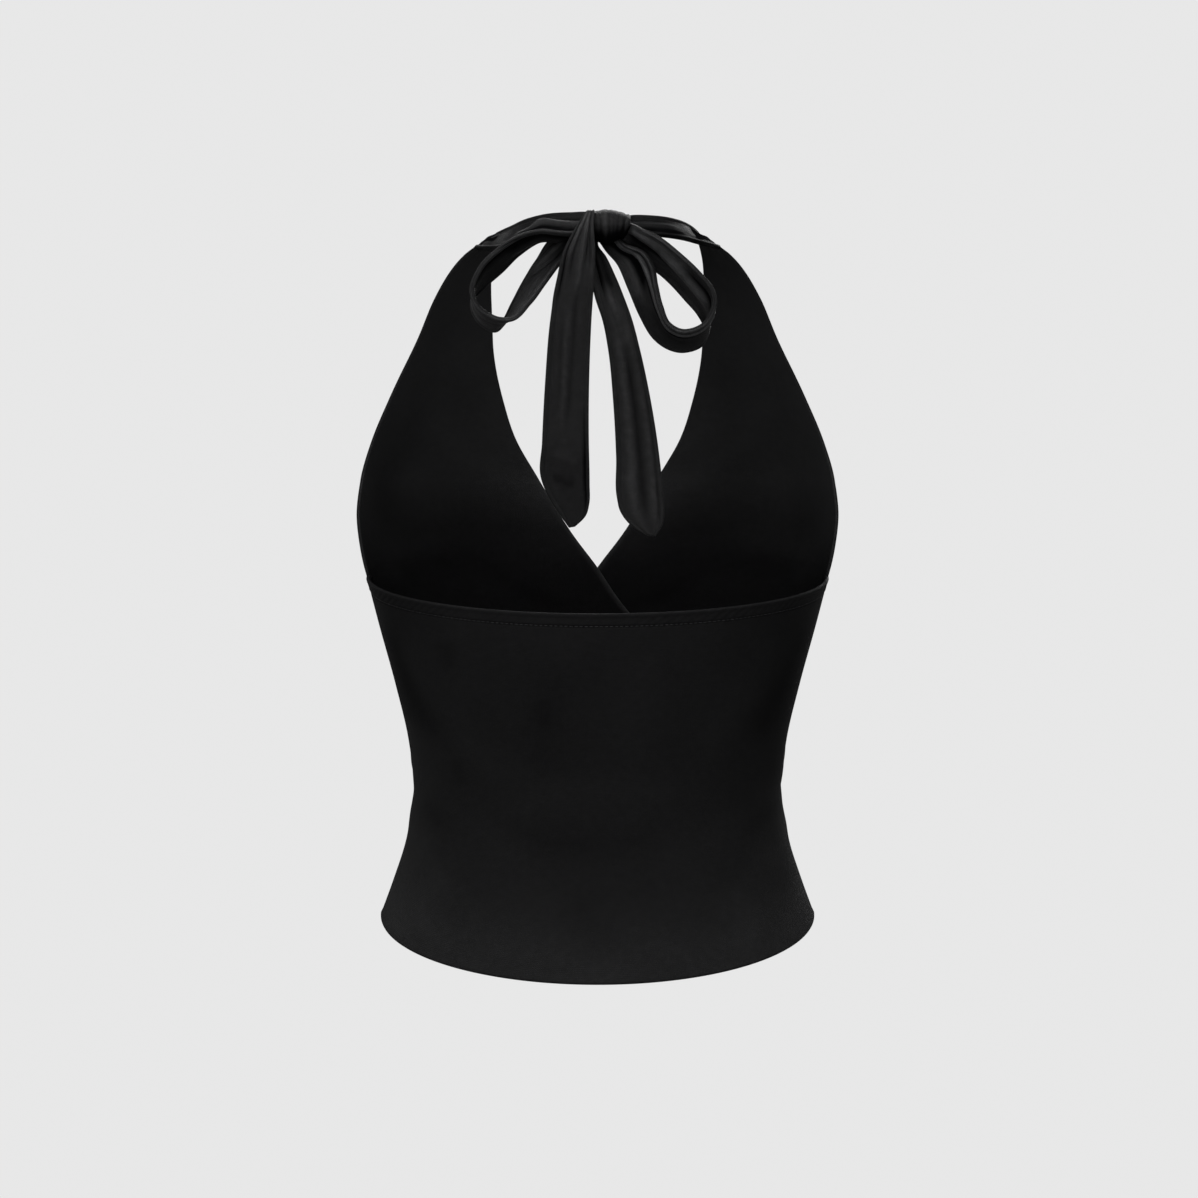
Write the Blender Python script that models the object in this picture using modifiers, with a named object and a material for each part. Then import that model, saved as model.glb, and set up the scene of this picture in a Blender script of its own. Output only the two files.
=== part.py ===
"""Halter neck top in black jersey, in the round form that it has when it is worn.

A waisted body closes at two side seams. Its back ends in a turned top edge below the shoulder
blades. Its front is a waist panel with two halter panels that cross over each other, right over
left, and rise over the chest to the neck. Each halter panel runs into a neck tie, and the ties
meet in a bow at the nape.

The origin is at the nape, where the neck holds the top. The front faces -Y, the wearer's left is
+X, and +Z is up. Sizes below are in millimetres, and the meshes are in metres.
"""

import bpy
import numpy as np

MM = 0.001
COLLECTION = "halter_neck_top"

# Cloth and seams
WALL = 1.5                  # body and halter panels, with their turned edges
TIE_WALL = 2.0              # ties, loops and tails: a turned tube pressed flat
GAP = 0.3                   # between two pieces at a seam
SIDE_SEAM_Y = -75.0         # both side seams lie in this plane

# A quarter of an ellipse as a cubic curve has its handles at this share of each half axis
ELLIPSE_HANDLE = 0.5523

# Mesh steps
BODY_COLUMNS = 34
BACK_ROWS = 12
WAIST_ROWS = 11
HALTER_COLUMNS = 13
HALTER_ROWS = 24
RIBBON_COLUMNS = 3
TIE_ROWS = 14
LOOP_ROWS = 40
TAIL_ROWS = 20
KNOT_RING = 20
KNOT_ROWS = 10
KNOT_SQUARENESS = 2.5       # power of the knot's oval section: 2 is an ellipse


def table(columns, *rows):
    """Short table as named columns, one row for each section."""
    return dict(zip(columns.split(), np.array(rows, dtype=float).T))


# Side seam line, from the top edge of the back down to the hem, with the centre back beside it.
# back_drop: how far the centre back hangs below the side.
BACK = table(
    "side_z   side_x  back_y  back_drop",
    (-218.2,  141.0,  25.0,   9.6),
    (-247.0,  133.8,  22.5,   8.5),
    (-285.0,  123.8,  17.0,   8.0),
    (-320.0,  116.0,  12.0,   8.0),
    (-352.0,  113.2,  10.0,   9.5),
    (-385.0,  118.0,  14.5,   12.5),
    (-410.0,  126.0,  20.5,   16.0),
    (-432.5,  134.2,  27.5,   20.0))

# Front waist panel, from the seam under the bust down to the hem.
FRONT = table(
    "side_z   front_y  front_drop  full",
    (-240.3,  -170.0,  27.7,       6.0),
    (-285.0,  -165.0,  20.0,       2.0),
    (-320.0,  -160.0,  16.0,       0.0),
    (-352.0,  -158.0,  15.0,       0.0),
    (-385.0,  -162.0,  16.0,       0.0),
    (-410.0,  -168.0,  18.0,       0.0),
    (-432.5,  -175.0,  20.0,       0.0))

# Left halter panel, from the seam under the bust up to the tie. edge is the neckline edge and arm
# the armhole edge. A turn is the heading of the section there, seen from above: 0 runs straight
# out to the side, 90 straight back. full is how far the section swells over its middle.
# A negative edge_x is the part that crosses the centre front.
HALTER = table(
    "edge_x  edge_y  edge_z   edge_turn  arm_x  arm_y   arm_z   arm_turn  full",
    (-30.0,  -170.0, -267.3,  0.0,       135.6, -75.15, -239.6, 90.0,     6.0),
    (-14.0,  -174.0, -248.0,  0.0,       141.0, -75.15, -218.2, 90.0,     12.0),
    (0.0,    -179.0, -227.3,  0.0,       146.0, -91.0,  -203.0, 86.0,     18.0),
    (18.0,   -184.0, -203.5,  4.0,       149.4, -112.0, -182.0, 80.0,     20.0),
    (37.0,   -184.0, -172.0,  10.0,      148.0, -126.0, -165.0, 72.0,     17.0),
    (52.0,   -175.0, -144.5,  16.0,      141.0, -132.0, -140.0, 60.0,     11.0),
    (60.0,   -162.0, -117.5,  22.0,      130.2, -128.0, -114.5, 50.0,     6.0),
    (65.5,   -132.0, -77.0,   26.0,      111.4, -108.0, -75.5,  36.0,     3.0),
    (65.5,   -104.0, -50.3,   26.0,      100.2, -88.0,  -49.8,  30.0,     2.0),
    (64.0,   -72.0,  -27.0,   24.0,      86.6,  -61.0,  -28.0,  26.0,     1.0),
    (59.0,   -46.0,  -7.0,    20.0,      73.5,  -40.0,  -15.4,  22.0,     0.5))

# Neck ties, from the knot round the neck to the halter panels. near is the edge at the neck and
# far the edge that lies out on the shoulder.
LEFT_TIE = table(
    "near_x  near_y  near_z  far_x  far_y  far_z",
    (3.7,    1.0,    6.6,    3.7,   13.0,  -6.0),
    (16.0,   -1.0,   6.8,    14.0,  13.0,  -6.8),
    (28.0,   -5.0,   6.0,    24.0,  12.0,  -8.0),
    (40.0,   -13.0,  3.0,    38.0,  7.0,   -10.0),
    (51.0,   -27.0,  -2.4,   55.0,  -6.0,  -13.6),
    (57.0,   -38.0,  -5.6,   67.5,  -24.0, -15.2),
    (59.0,   -45.4,  -6.9,   73.5,  -39.4, -15.4))
RIGHT_TIE = table(
    "near_x  near_y  near_z  far_x  far_y  far_z",
    (-19.6,  1.0,    5.2,    -19.6, 13.0,  -5.6),
    (-28.0,  -2.0,   5.0,    -28.0, 12.0,  -6.6),
    (-38.0,  -8.0,   4.0,    -37.0, 8.5,   -7.4),
    (-48.0,  -19.0,  1.4,    -50.0, 0.0,   -9.0),
    (-54.5,  -30.0,  -2.0,   -61.5, -13.0, -11.4),
    (-58.0,  -39.0,  -5.2,   -69.5, -26.0, -13.8),
    (-59.0,  -45.4,  -6.9,   -73.5, -39.4, -15.4))

# Bow loops, each from the top of the knot, round, and back under it. near is the edge towards
# someone behind the wearer, and far the edge towards the wearer's back.
LEFT_LOOP = table(
    "near_x  near_y  near_z  far_x  far_y  far_z",
    (3.9,    26.0,   2.6,    3.9,   15.0,  1.2),
    (13.0,   29.5,   4.4,    14.0,  14.0,  -3.5),
    (22.0,   37.0,   4.0,    24.0,  15.5,  -6.2),
    (33.0,   42.0,   1.0,    33.0,  18.0,  -9.2),
    (45.0,   45.0,   -4.7,   46.0,  21.0,  -17.0),
    (56.0,   47.0,   -12.2,  56.0,  23.0,  -26.0),
    (67.0,   48.5,   -24.2,  64.0,  24.5,  -35.0),
    (73.4,   49.5,   -36.0,  68.2,  25.5,  -43.5),
    (73.8,   49.5,   -43.6,  68.8,  25.5,  -49.5),
    (71.6,   49.0,   -49.0,  67.5,  25.5,  -54.6),
    (66.5,   48.0,   -53.0,  64.5,  25.0,  -57.8),
    (58.5,   47.0,   -54.9,  60.0,  24.5,  -58.6),
    (48.0,   45.0,   -51.4,  55.0,  23.5,  -54.0),
    (39.0,   42.0,   -43.0,  51.0,  22.0,  -45.0),
    (30.5,   37.0,   -32.0,  46.0,  20.0,  -33.0),
    (21.5,   32.0,   -20.5,  40.0,  18.0,  -21.0),
    (13.0,   28.0,   -12.5,  27.0,  16.0,  -12.0),
    (3.9,    24.5,   -6.4,   3.9,   15.0,  -7.4))
RIGHT_LOOP = table(
    "near_x  near_y  near_z  far_x  far_y  far_z",
    (-20.6,  25.0,   4.0,    -20.4, 15.5,  -3.6),
    (-26.5,  32.0,   0.4,    -24.0, 15.5,  -13.4),
    (-36.2,  39.0,   -7.0,   -33.5, 17.5,  -25.0),
    (-47.7,  44.0,   -16.1,  -42.0, 20.5,  -33.0),
    (-59.0,  46.5,   -25.8,  -51.5, 22.5,  -42.6),
    (-66.6,  47.5,   -35.5,  -59.5, 24.0,  -52.0),
    (-68.0,  48.0,   -41.6,  -62.6, 25.0,  -58.0),
    (-66.0,  48.0,   -48.8,  -63.2, 25.5,  -64.0),
    (-61.7,  47.5,   -55.2,  -60.4, 25.0,  -69.2),
    (-55.0,  46.5,   -58.6,  -55.5, 24.5,  -71.8),
    (-48.2,  46.0,   -59.0,  -49.0, 24.0,  -72.8),
    (-41.2,  44.0,   -55.0,  -42.0, 23.0,  -71.2),
    (-36.8,  42.0,   -44.5,  -33.5, 21.5,  -65.4),
    (-34.2,  39.0,   -33.0,  -25.5, 19.5,  -52.5),
    (-32.0,  36.0,   -22.0,  -18.5, 17.5,  -36.5),
    (-26.0,  32.5,   -14.0,  -12.0, 16.5,  -22.0),
    (-16.0,  27.5,   -10.0,  -8.5,  17.5,  -13.8))

# Hanging tails. near and far are their left and right edges, seen from behind the wearer.
LEFT_TAIL = table(
    "near_x  near_y  near_z  far_x  far_y  far_z",
    (6.0,    24.5,   7.8,    2.6,   24.8,  8.2),
    (12.0,   34.0,   0.5,    2.8,   35.5,  0.0),
    (19.5,   38.5,   -12.8,  2.4,   39.5,  -12.5),
    (23.6,   41.0,   -30.0,  3.0,   41.5,  -28.0),
    (27.4,   41.5,   -53.0,  3.6,   41.0,  -52.0),
    (29.8,   40.5,   -88.0,  4.8,   40.0,  -88.0),
    (31.0,   39.5,   -125.0, 5.4,   39.5,  -125.0),
    (32.4,   39.5,   -146.0, 4.8,   39.5,  -149.0),
    (28.0,   39.8,   -158.0, 4.8,   39.5,  -161.0),
    (20.5,   40.0,   -169.5, 8.0,   39.8,  -169.5),
    (16.6,   40.0,   -175.0, 13.2,  40.0,  -174.4))
RIGHT_TAIL = table(
    "near_x  near_y  near_z  far_x  far_y  far_z",
    (3.0,    19.5,   -8.7,   -2.2,  17.5,  -11.3),
    (5.0,    24.5,   -17.0,  -5.0,  21.0,  -18.5),
    (4.0,    28.0,   -28.0,  -10.4, 23.0,  -29.5),
    (0.3,    30.5,   -41.0,  -15.2, 25.0,  -40.5),
    (-3.6,   31.5,   -54.0,  -20.0, 27.0,  -54.0),
    (-6.4,   32.0,   -71.5,  -24.8, 28.5,  -72.0),
    (-9.2,   33.0,   -100.5, -31.0, 30.0,  -101.0),
    (-11.0,  33.5,   -135.0, -36.2, 31.5,  -134.0),
    (-11.4,  34.0,   -158.0, -38.6, 32.5,  -157.0),
    (-13.8,  34.0,   -167.0, -39.2, 33.0,  -166.5),
    (-20.5,  34.0,   -175.0, -38.0, 33.5,  -174.5),
    (-29.5,  34.0,   -180.6, -34.0, 33.8,  -180.8))

# Knot: oval sections across it, from its left side to its right.
KNOT = table(
    "x       mid_y  mid_z  half_y  half_z",
    (3.2,    15.5,  0.6,   11.5,   6.0),
    (2.2,    15.3,  0.4,   13.2,   7.8),
    (-2.0,   15.1,  -0.4,  14.4,   9.7),
    (-7.5,   15.0,  -1.2,  15.0,   10.8),
    (-12.0,  15.0,  -0.4,  14.8,   9.8),
    (-16.0,  15.2,  1.4,   14.0,   7.4),
    (-18.6,  15.4,  3.0,   12.4,   4.9),
    (-19.2,  15.5,  3.4,   11.0,   3.6))


def slopes(knots, values, limited):
    """Slope at each knot; limited slopes never let the curve pass beyond a flat or a turn."""
    steps = np.diff(knots)[:, None]
    rises = np.diff(values, axis=0) / steps
    middle = (rises[:-1] * steps[1:] + rises[1:] * steps[:-1]) / (steps[:-1] + steps[1:])
    if limited:
        least = 2.0 * np.minimum(np.abs(rises[:-1]), np.abs(rises[1:]))
        middle = np.where(rises[:-1] * rises[1:] > 0.0,
                          np.sign(middle) * np.minimum(np.abs(middle), least), 0.0)
    return np.vstack((rises[:1], middle, rises[-1:]))


def curve_through(knots, values, at, limited=False):
    """Smooth cubic curve through the rows of values, read at the given distances."""
    slope = slopes(knots, values, limited)
    index = np.clip(np.searchsorted(knots, at, side="right") - 1, 0, len(knots) - 2)
    step = (knots[index + 1] - knots[index])[:, None]
    t = (at - knots[index])[:, None] / step
    return ((2 * t**3 - 3 * t**2 + 1) * values[index] + (t**3 - 2 * t**2 + t) * step * slope[index]
            + (3 * t**2 - 2 * t**3) * values[index + 1] + (t**3 - t**2) * step * slope[index + 1])


def resample(columns, knots, count, limited=False):
    """The table's columns again, at count + 1 even steps along its knots."""
    values = np.column_stack(list(columns.values()))
    at = np.linspace(knots[0], knots[-1], count + 1)
    return dict(zip(columns, curve_through(knots, values, at, limited).T))


def distances(points):
    """Distance run along a line of points, starting at zero."""
    return np.concatenate(([0.0], np.cumsum(np.linalg.norm(np.diff(points, axis=0), axis=1))))


def points_of(columns, *names):
    """Columns side by side, as one row of coordinates for each section."""
    return np.column_stack([columns[name] for name in names])


def section(edge, side, edge_turn, side_turn, full, share):
    """Curve of cloth from a front or back edge (share 0) round to the side (share 1).

    It leaves the edge and meets the side at the given turns, and swells by full over its middle.
    A negative share is the mirror image past the centre. Shapes: (rows, 3), (rows,), (rows, n).
    """
    run = side - edge
    start = np.column_stack((np.cos(edge_turn), np.sin(edge_turn)))
    end = np.column_stack((np.cos(side_turn), np.sin(side_turn)))
    first = ELLIPSE_HANDLE * np.sum(run[:, :2] * start, axis=1, keepdims=True) * start
    last = ELLIPSE_HANDLE * np.sum(run[:, :2] * end, axis=1, keepdims=True) * end
    rise = ELLIPSE_HANDLE * run[:, 2:]
    handle_a = edge + np.hstack((first, rise * np.abs(start[:, 1:])))
    handle_b = side - np.hstack((last, rise))
    t = np.abs(share)[:, :, None]
    points = ((1 - t)**3 * edge[:, None] + 3 * t * (1 - t)**2 * handle_a[:, None]
              + 3 * t**2 * (1 - t) * handle_b[:, None] + t**3 * side[:, None])
    swell = full[:, None] * np.sin(np.pi * np.abs(share))**2
    points[:, :, 0] += 0.30 * swell
    points[:, :, 1] -= 0.95 * swell
    points[:, :, 0] *= np.where(share < 0.0, -1.0, 1.0)
    return points


def body_section(centre, side, direction, full, columns):
    """Whole front (direction -1) or back (direction 1) from the right side to the left."""
    rows = len(side)
    share = np.tile(np.linspace(-1.0, 1.0, columns + 1), (rows, 1))
    flat = np.zeros(rows)
    return section(centre, side, flat, flat + np.radians(-90.0 * direction), full, share)


def back_points():
    """Inner face of the back, rows from the top edge to the hem."""
    rows = resample(BACK, -BACK["side_z"], BACK_ROWS)
    side = points_of(rows, "side_x", "side_x", "side_z")
    side[:, 1] = SIDE_SEAM_Y + GAP / 2
    centre = np.column_stack((np.zeros(len(side)), rows["back_y"],
                              rows["side_z"] - rows["back_drop"]))
    return body_section(centre, side, 1.0, np.zeros(len(side)), BODY_COLUMNS)


def front_waist_points():
    """Inner face of the front waist panel, rows from the seam under the bust to the hem."""
    rows = resample(FRONT, -FRONT["side_z"], WAIST_ROWS)
    side_x = curve_through(-BACK["side_z"], BACK["side_x"][:, None], -rows["side_z"])[:, 0]
    side = np.column_stack((side_x, np.full(len(side_x), SIDE_SEAM_Y - GAP / 2), rows["side_z"]))
    centre = np.column_stack((np.zeros(len(side)), rows["front_y"],
                              rows["side_z"] - rows["front_drop"]))
    return body_section(centre, side, -1.0, rows["full"], BODY_COLUMNS)


def halter_points():
    """Inner face of the left halter panel, and its share of the way round at each point."""
    edge = points_of(HALTER, "edge_x", "edge_y", "edge_z")
    arm = points_of(HALTER, "arm_x", "arm_y", "arm_z")
    rows = resample(HALTER, (distances(edge) + distances(arm)) / 2, HALTER_ROWS, limited=True)
    edge = points_of(rows, "edge_x", "edge_y", "edge_z")
    wrap = np.maximum(-edge[:, 0], 0.0)
    edge[:, 0] = np.maximum(edge[:, 0], 0.0)
    arm = points_of(rows, "arm_x", "arm_y", "arm_z")
    shape = (edge, arm, np.radians(rows["edge_turn"]), np.radians(rows["arm_turn"]), rows["full"])
    fine = np.linspace(0.0, 1.0, 101)
    width = section(*shape, np.tile(fine, (len(edge), 1)))[:, :, 0]
    start = np.array([-np.interp(reach, x, fine) for reach, x in zip(wrap, width)])
    share = start[:, None] + (1.0 - start[:, None]) * np.linspace(0.0, 1.0, HALTER_COLUMNS + 1)
    return section(*shape, share), share


def normals(points):
    """Unit normal at each grid point: the row direction crossed with the column direction."""
    across = np.gradient(points, axis=1)
    along = np.gradient(points, axis=0)
    normal = np.cross(across, along)
    return normal / np.linalg.norm(normal, axis=2, keepdims=True)


def fade(value, full_at, gone_at):
    """1 up to full_at, easing to 0 at gone_at."""
    t = np.clip((value - full_at) / (gone_at - full_at), 0.0, 1.0)
    return 1.0 - t * t * (3.0 - 2.0 * t)


def right_halter_points():
    """The left panel mirrored and, where the two cross, moved out to lie on top of it."""
    points, share = halter_points()
    height = np.linspace(0.0, 1.0, len(points))[:, None]
    lift = (WALL + 1.5 * GAP) * fade(share, 0.45, 0.90) * fade(height, 0.40, 0.75)
    level = outward(points) * np.array((1.0, 1.0, 0.0))
    level /= np.linalg.norm(level, axis=2, keepdims=True)
    points = points + level * lift[:, :, None]
    return points[:, ::-1] * np.array((-1.0, 1.0, 1.0))


def outward(points):
    """Unit normals that point away from the body's middle."""
    normal = normals(points)
    middle = np.array((0.0, SIDE_SEAM_Y, points[:, :, 2].mean() - 60.0))
    away = np.sum(normal * (points - middle), axis=2).sum()
    return normal * np.sign(away)


def ribbon_points(sections, rows, columns=RIBBON_COLUMNS):
    """Flat band of cloth between a near and a far edge, rows along its length."""
    near = points_of(sections, "near_x", "near_y", "near_z")
    far = points_of(sections, "far_x", "far_y", "far_z")
    smooth = resample(sections, distances((near + far) / 2), rows)
    near = points_of(smooth, "near_x", "near_y", "near_z")[:, None]
    far = points_of(smooth, "far_x", "far_y", "far_z")[:, None]
    across = np.linspace(0.0, 1.0, columns + 1)[None, :, None]
    return near + (far - near) * across


def jersey(name, grey, roughness):
    """Black knit with a soft sheen."""
    material = bpy.data.materials.new(name)
    material.use_nodes = True
    shader = material.node_tree.nodes["Principled BSDF"]
    shader.inputs["Base Color"].default_value = (grey, grey, grey * 1.06, 1.0)
    shader.inputs["Roughness"].default_value = roughness
    shader.inputs["Metallic"].default_value = 0.0
    return material


def add_object(name, mesh, material, collection):
    """Link a mesh as a named object with one material."""
    mesh.materials.append(material)
    mesh.shade_smooth()
    mesh.set_sharp_from_angle(angle=np.radians(50.0))
    obj = bpy.data.objects.new(name, mesh)
    collection.objects.link(obj)
    return obj


def grid_faces(rows, columns, wrap=False):
    """Four-sided faces of a grid of points; wrap joins the last column to the first."""
    last = columns if wrap else columns - 1
    return [(r * columns + c, r * columns + (c + 1) % columns,
             (r + 1) * columns + (c + 1) % columns, (r + 1) * columns + c)
            for r in range(rows - 1) for c in range(last)]


def cloth(name, points, wall, offset, material, collection):
    """Sheet of cloth: the grid of points is thickened into a wall.

    offset 1 lays the wall on the sheet's outer side, and 0 puts half on each side.
    """
    rows, columns = points.shape[:2]
    if offset and np.sum(normals(points) * outward(points)) < 0.0:
        points = points[:, ::-1]
    mesh = bpy.data.meshes.new(name)
    mesh.from_pydata((points.reshape(-1, 3) * MM).tolist(), [], grid_faces(rows, columns))
    obj = add_object(name, mesh, material, collection)
    solid = obj.modifiers.new("wall", "SOLIDIFY")
    solid.thickness = wall * MM
    solid.offset = offset
    return obj


def knot(name, material, collection):
    """Closed round band that the ties, loops and tails come out of."""
    rows = resample(KNOT, distances(points_of(KNOT, "x", "half_z")), KNOT_ROWS, limited=True)
    angle = np.linspace(0.0, 2.0 * np.pi, KNOT_RING, endpoint=False)
    power = 2.0 / KNOT_SQUARENESS
    oval_y = np.sign(np.cos(angle)) * np.abs(np.cos(angle))**power
    oval_z = np.sign(np.sin(angle)) * np.abs(np.sin(angle))**power
    points = np.stack((np.broadcast_to(rows["x"][:, None], (len(rows["x"]), KNOT_RING)),
                       rows["mid_y"][:, None] + rows["half_y"][:, None] * oval_y,
                       rows["mid_z"][:, None] + rows["half_z"][:, None] * oval_z), axis=2)
    count = len(points)
    faces = grid_faces(count, KNOT_RING, wrap=True)
    faces.append(tuple(reversed(range(KNOT_RING))))
    faces.append(tuple((count - 1) * KNOT_RING + i for i in range(KNOT_RING)))
    mesh = bpy.data.meshes.new(name)
    mesh.from_pydata((points.reshape(-1, 3) * MM).tolist(), [], faces)
    if knot_faces_inward(mesh):
        mesh.flip_normals()
    return add_object(name, mesh, material, collection)


def knot_faces_inward(mesh):
    """True where the first cap, on the wearer's left, faces towards -X."""
    cap = mesh.polygons[len(mesh.polygons) - 2]
    return cap.normal.x < 0.0


def clear_scene():
    """Start from an empty scene."""
    for obj in list(bpy.data.objects):
        bpy.data.objects.remove(obj)


def build():
    """Make every piece of the top."""
    clear_scene()
    collection = bpy.data.collections.new(COLLECTION)
    bpy.context.scene.collection.children.link(collection)
    body = jersey("body_jersey", 0.010, 0.62)
    front = jersey("halter_jersey", 0.009, 0.66)
    band = jersey("tie_jersey", 0.016, 0.52)
    left_halter, _ = halter_points()
    cloth("back_panel", back_points(), WALL, 1.0, body, collection)
    cloth("front_waist", front_waist_points(), WALL, 1.0, body, collection)
    cloth("front_left_halter", left_halter, WALL, 1.0, front, collection)
    cloth("front_right_halter", right_halter_points(), WALL, 1.0, front, collection)
    ribbons = (("left_neck_tie", LEFT_TIE, TIE_ROWS), ("right_neck_tie", RIGHT_TIE, TIE_ROWS),
               ("left_loop", LEFT_LOOP, LOOP_ROWS), ("right_loop", RIGHT_LOOP, LOOP_ROWS),
               ("left_tail", LEFT_TAIL, TAIL_ROWS), ("right_tail", RIGHT_TAIL, TAIL_ROWS))
    for name, sections, rows in ribbons:
        cloth(name, ribbon_points(sections, rows), TIE_WALL, 0.0, band, collection)
    knot("knot", band, collection)


build()
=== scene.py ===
# %% [markdown]
# # A halter neck top in black jersey
#
# The top is shown in the round form that it has when it is worn, with nobody in it. The packed
# frame holds each piece of cloth as a plain solid. This lesson lays the real cloth over those
# solids: a thin shell for each piece, with rolled edges, turned hems, soft creases and a knitted
# face. All sizes in the tables are millimetres, and the meshes are in metres.

# %% Load the frame
import math

import bpy
import numpy as np
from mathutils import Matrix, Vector


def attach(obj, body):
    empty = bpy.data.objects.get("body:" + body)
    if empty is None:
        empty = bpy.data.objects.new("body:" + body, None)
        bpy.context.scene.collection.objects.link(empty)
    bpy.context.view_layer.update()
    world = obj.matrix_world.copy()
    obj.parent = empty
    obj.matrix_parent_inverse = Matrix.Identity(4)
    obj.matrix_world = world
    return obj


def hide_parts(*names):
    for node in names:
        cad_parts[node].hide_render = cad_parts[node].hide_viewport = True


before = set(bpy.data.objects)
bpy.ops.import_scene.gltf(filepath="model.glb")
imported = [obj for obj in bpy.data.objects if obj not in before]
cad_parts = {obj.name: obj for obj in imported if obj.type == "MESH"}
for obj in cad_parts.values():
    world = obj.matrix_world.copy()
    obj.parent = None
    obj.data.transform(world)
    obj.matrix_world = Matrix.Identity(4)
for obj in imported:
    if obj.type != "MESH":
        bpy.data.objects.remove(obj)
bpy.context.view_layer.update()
BODY = "root"
MM = 0.001
print("frame nodes:", ", ".join(sorted(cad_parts)))

# %% [markdown]
# ## The camera
#
# The top is looked at from behind, because the bow and the low back are what it is bought for. A
# long lens from over two metres away keeps the near bow and the far front at nearly one scale, as
# a catalogue view does. A short lens close by would swell the bow and shrink the front.

# %% Camera
CAMERA_TILT = math.radians(8.0)                 # how steeply it looks down
CAMERA_DISTANCE = 2.3
CAMERA_LENS = 111.5                             # mm, on a 36 mm sensor
AIM = Vector((-0.0009, -0.080, -0.234))         # near the middle of the top


def add_object(name, data):
    """Object in the scene that shows the given data."""
    item = bpy.data.objects.new(name, data)
    bpy.context.scene.collection.objects.link(item)
    return item


def add_camera():
    """Camera behind the top: it stands at the aim less its distance along the viewing direction."""
    direction = Vector((0.0, -math.cos(CAMERA_TILT), -math.sin(CAMERA_TILT)))
    data = bpy.data.cameras.new("camera")
    data.lens = CAMERA_LENS
    data.sensor_width = 36.0
    camera = add_object("camera", data)
    camera.location = AIM - direction * CAMERA_DISTANCE
    camera.rotation_euler = direction.to_track_quat("-Z", "Y").to_euler()
    bpy.context.scene.camera = camera
    return camera


camera = add_camera()
print("camera at", [round(c, 3) for c in camera.location])

# %% [markdown]
# ## The studio
#
# A catalogue studio hangs a roll of pale paper so that it curves from the floor up the wall,
# and no corner shows. Here the paper goes all the way round like a shallow dish, so the
# ground stays plain from every side. The dish is a profile turned about the upright axis: a flat
# floor, a quarter circle and a wall. The floor is as far down as it is under a standing wearer.

# %% Floor and wall
FLOOR_HEIGHT = -1.35
FLOOR_RADIUS = 2.6
COVE_RADIUS = 1.2
WALL_TOP = 3.2
DISH_SIDES = 96


def dish_profile():
    """Radius and height down the dish: along the floor, round a quarter circle, up the wall."""
    turn = np.linspace(0.0, np.pi / 2, 17)
    radius = np.concatenate(([0.02], FLOOR_RADIUS + COVE_RADIUS * np.sin(turn),
                             [FLOOR_RADIUS + COVE_RADIUS]))
    height = np.concatenate(([FLOOR_HEIGHT], FLOOR_HEIGHT + COVE_RADIUS * (1 - np.cos(turn)),
                             [WALL_TOP]))
    return radius, height


def quads_of(index):
    """Four-sided faces between neighbouring entries of a grid of point numbers."""
    return np.stack((index[:-1, :-1], index[:-1, 1:], index[1:, 1:], index[1:, :-1]),
                    axis=2).reshape(-1, 4)


def add_dish():
    """Turn the profile: x = radius cos(angle), y = radius sin(angle), z = height."""
    radius, height = dish_profile()
    angle = np.linspace(0.0, 2 * np.pi, DISH_SIDES, endpoint=False)
    points = np.stack((np.outer(radius, np.cos(angle)), np.outer(radius, np.sin(angle)),
                       np.outer(height, np.ones(DISH_SIDES))), axis=2)
    index = np.arange(points.shape[0] * DISH_SIDES).reshape(points.shape[:2])
    index = np.hstack((index, index[:, :1]))
    mesh = bpy.data.meshes.new("studio_dish")
    centre_disc = tuple(range(DISH_SIDES))
    mesh.from_pydata(points.reshape(-1, 3).tolist(), [], [centre_disc] + quads_of(index).tolist())
    mesh.shade_smooth()
    dish = add_object("studio_dish", mesh)
    return dish


dish = add_dish()
print("studio floor at", FLOOR_HEIGHT, "m")

# %% [markdown]
# The paper is seen, but it lights nothing: it has a plain glow, and it is hidden from every ray
# but the camera's. Paper that was really lit would also throw its own light back, and black cloth
# between white walls turns grey. Here the fill light is the sky's alone, so it can be set low,
# as black flags beside dark clothes do in a studio.

# %% Paper and sky
PAPER_GLOW = 0.805
SKY_STRENGTH = 0.16


def finish_studio():
    """Give the dish its glowing paper, and the world its low even white."""
    paper = bpy.data.materials.new("studio_paper")
    paper.use_nodes = True
    shader = paper.node_tree.nodes["Principled BSDF"]
    shader.inputs["Base Color"].default_value = (0.0, 0.0, 0.0, 1.0)
    shader.inputs["Roughness"].default_value = 1.0
    shader.inputs["Specular IOR Level"].default_value = 0.0
    shader.inputs["Emission Color"].default_value = (1.0, 1.0, 1.0, 1.0)
    shader.inputs["Emission Strength"].default_value = PAPER_GLOW
    dish.data.materials.append(paper)
    dish.visible_diffuse = False
    dish.visible_glossy = False
    dish.visible_shadow = False
    world = bpy.data.worlds.new("studio_sky")
    world.use_nodes = True
    sky = world.node_tree.nodes["Background"]
    sky.inputs["Color"].default_value = (1.0, 1.0, 1.0, 1.0)
    sky.inputs["Strength"].default_value = SKY_STRENGTH
    bpy.context.scene.world = world
    bpy.context.scene.view_settings.view_transform = "Standard"


finish_studio()

# %% [markdown]
# Black cloth is shaped by its highlights more than by its shadows. One large soft box stands low
# behind the top and lights the back head on, so that the sides fall off darker, and the back
# panel's edge throws its shade down the inside. One overhead and a smaller one high on each
# side pick out whatever faces up: the knot, the rims of the loops and the flare of the hips. The
# last stands in front, where it lights the top for anyone who walks round.

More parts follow.
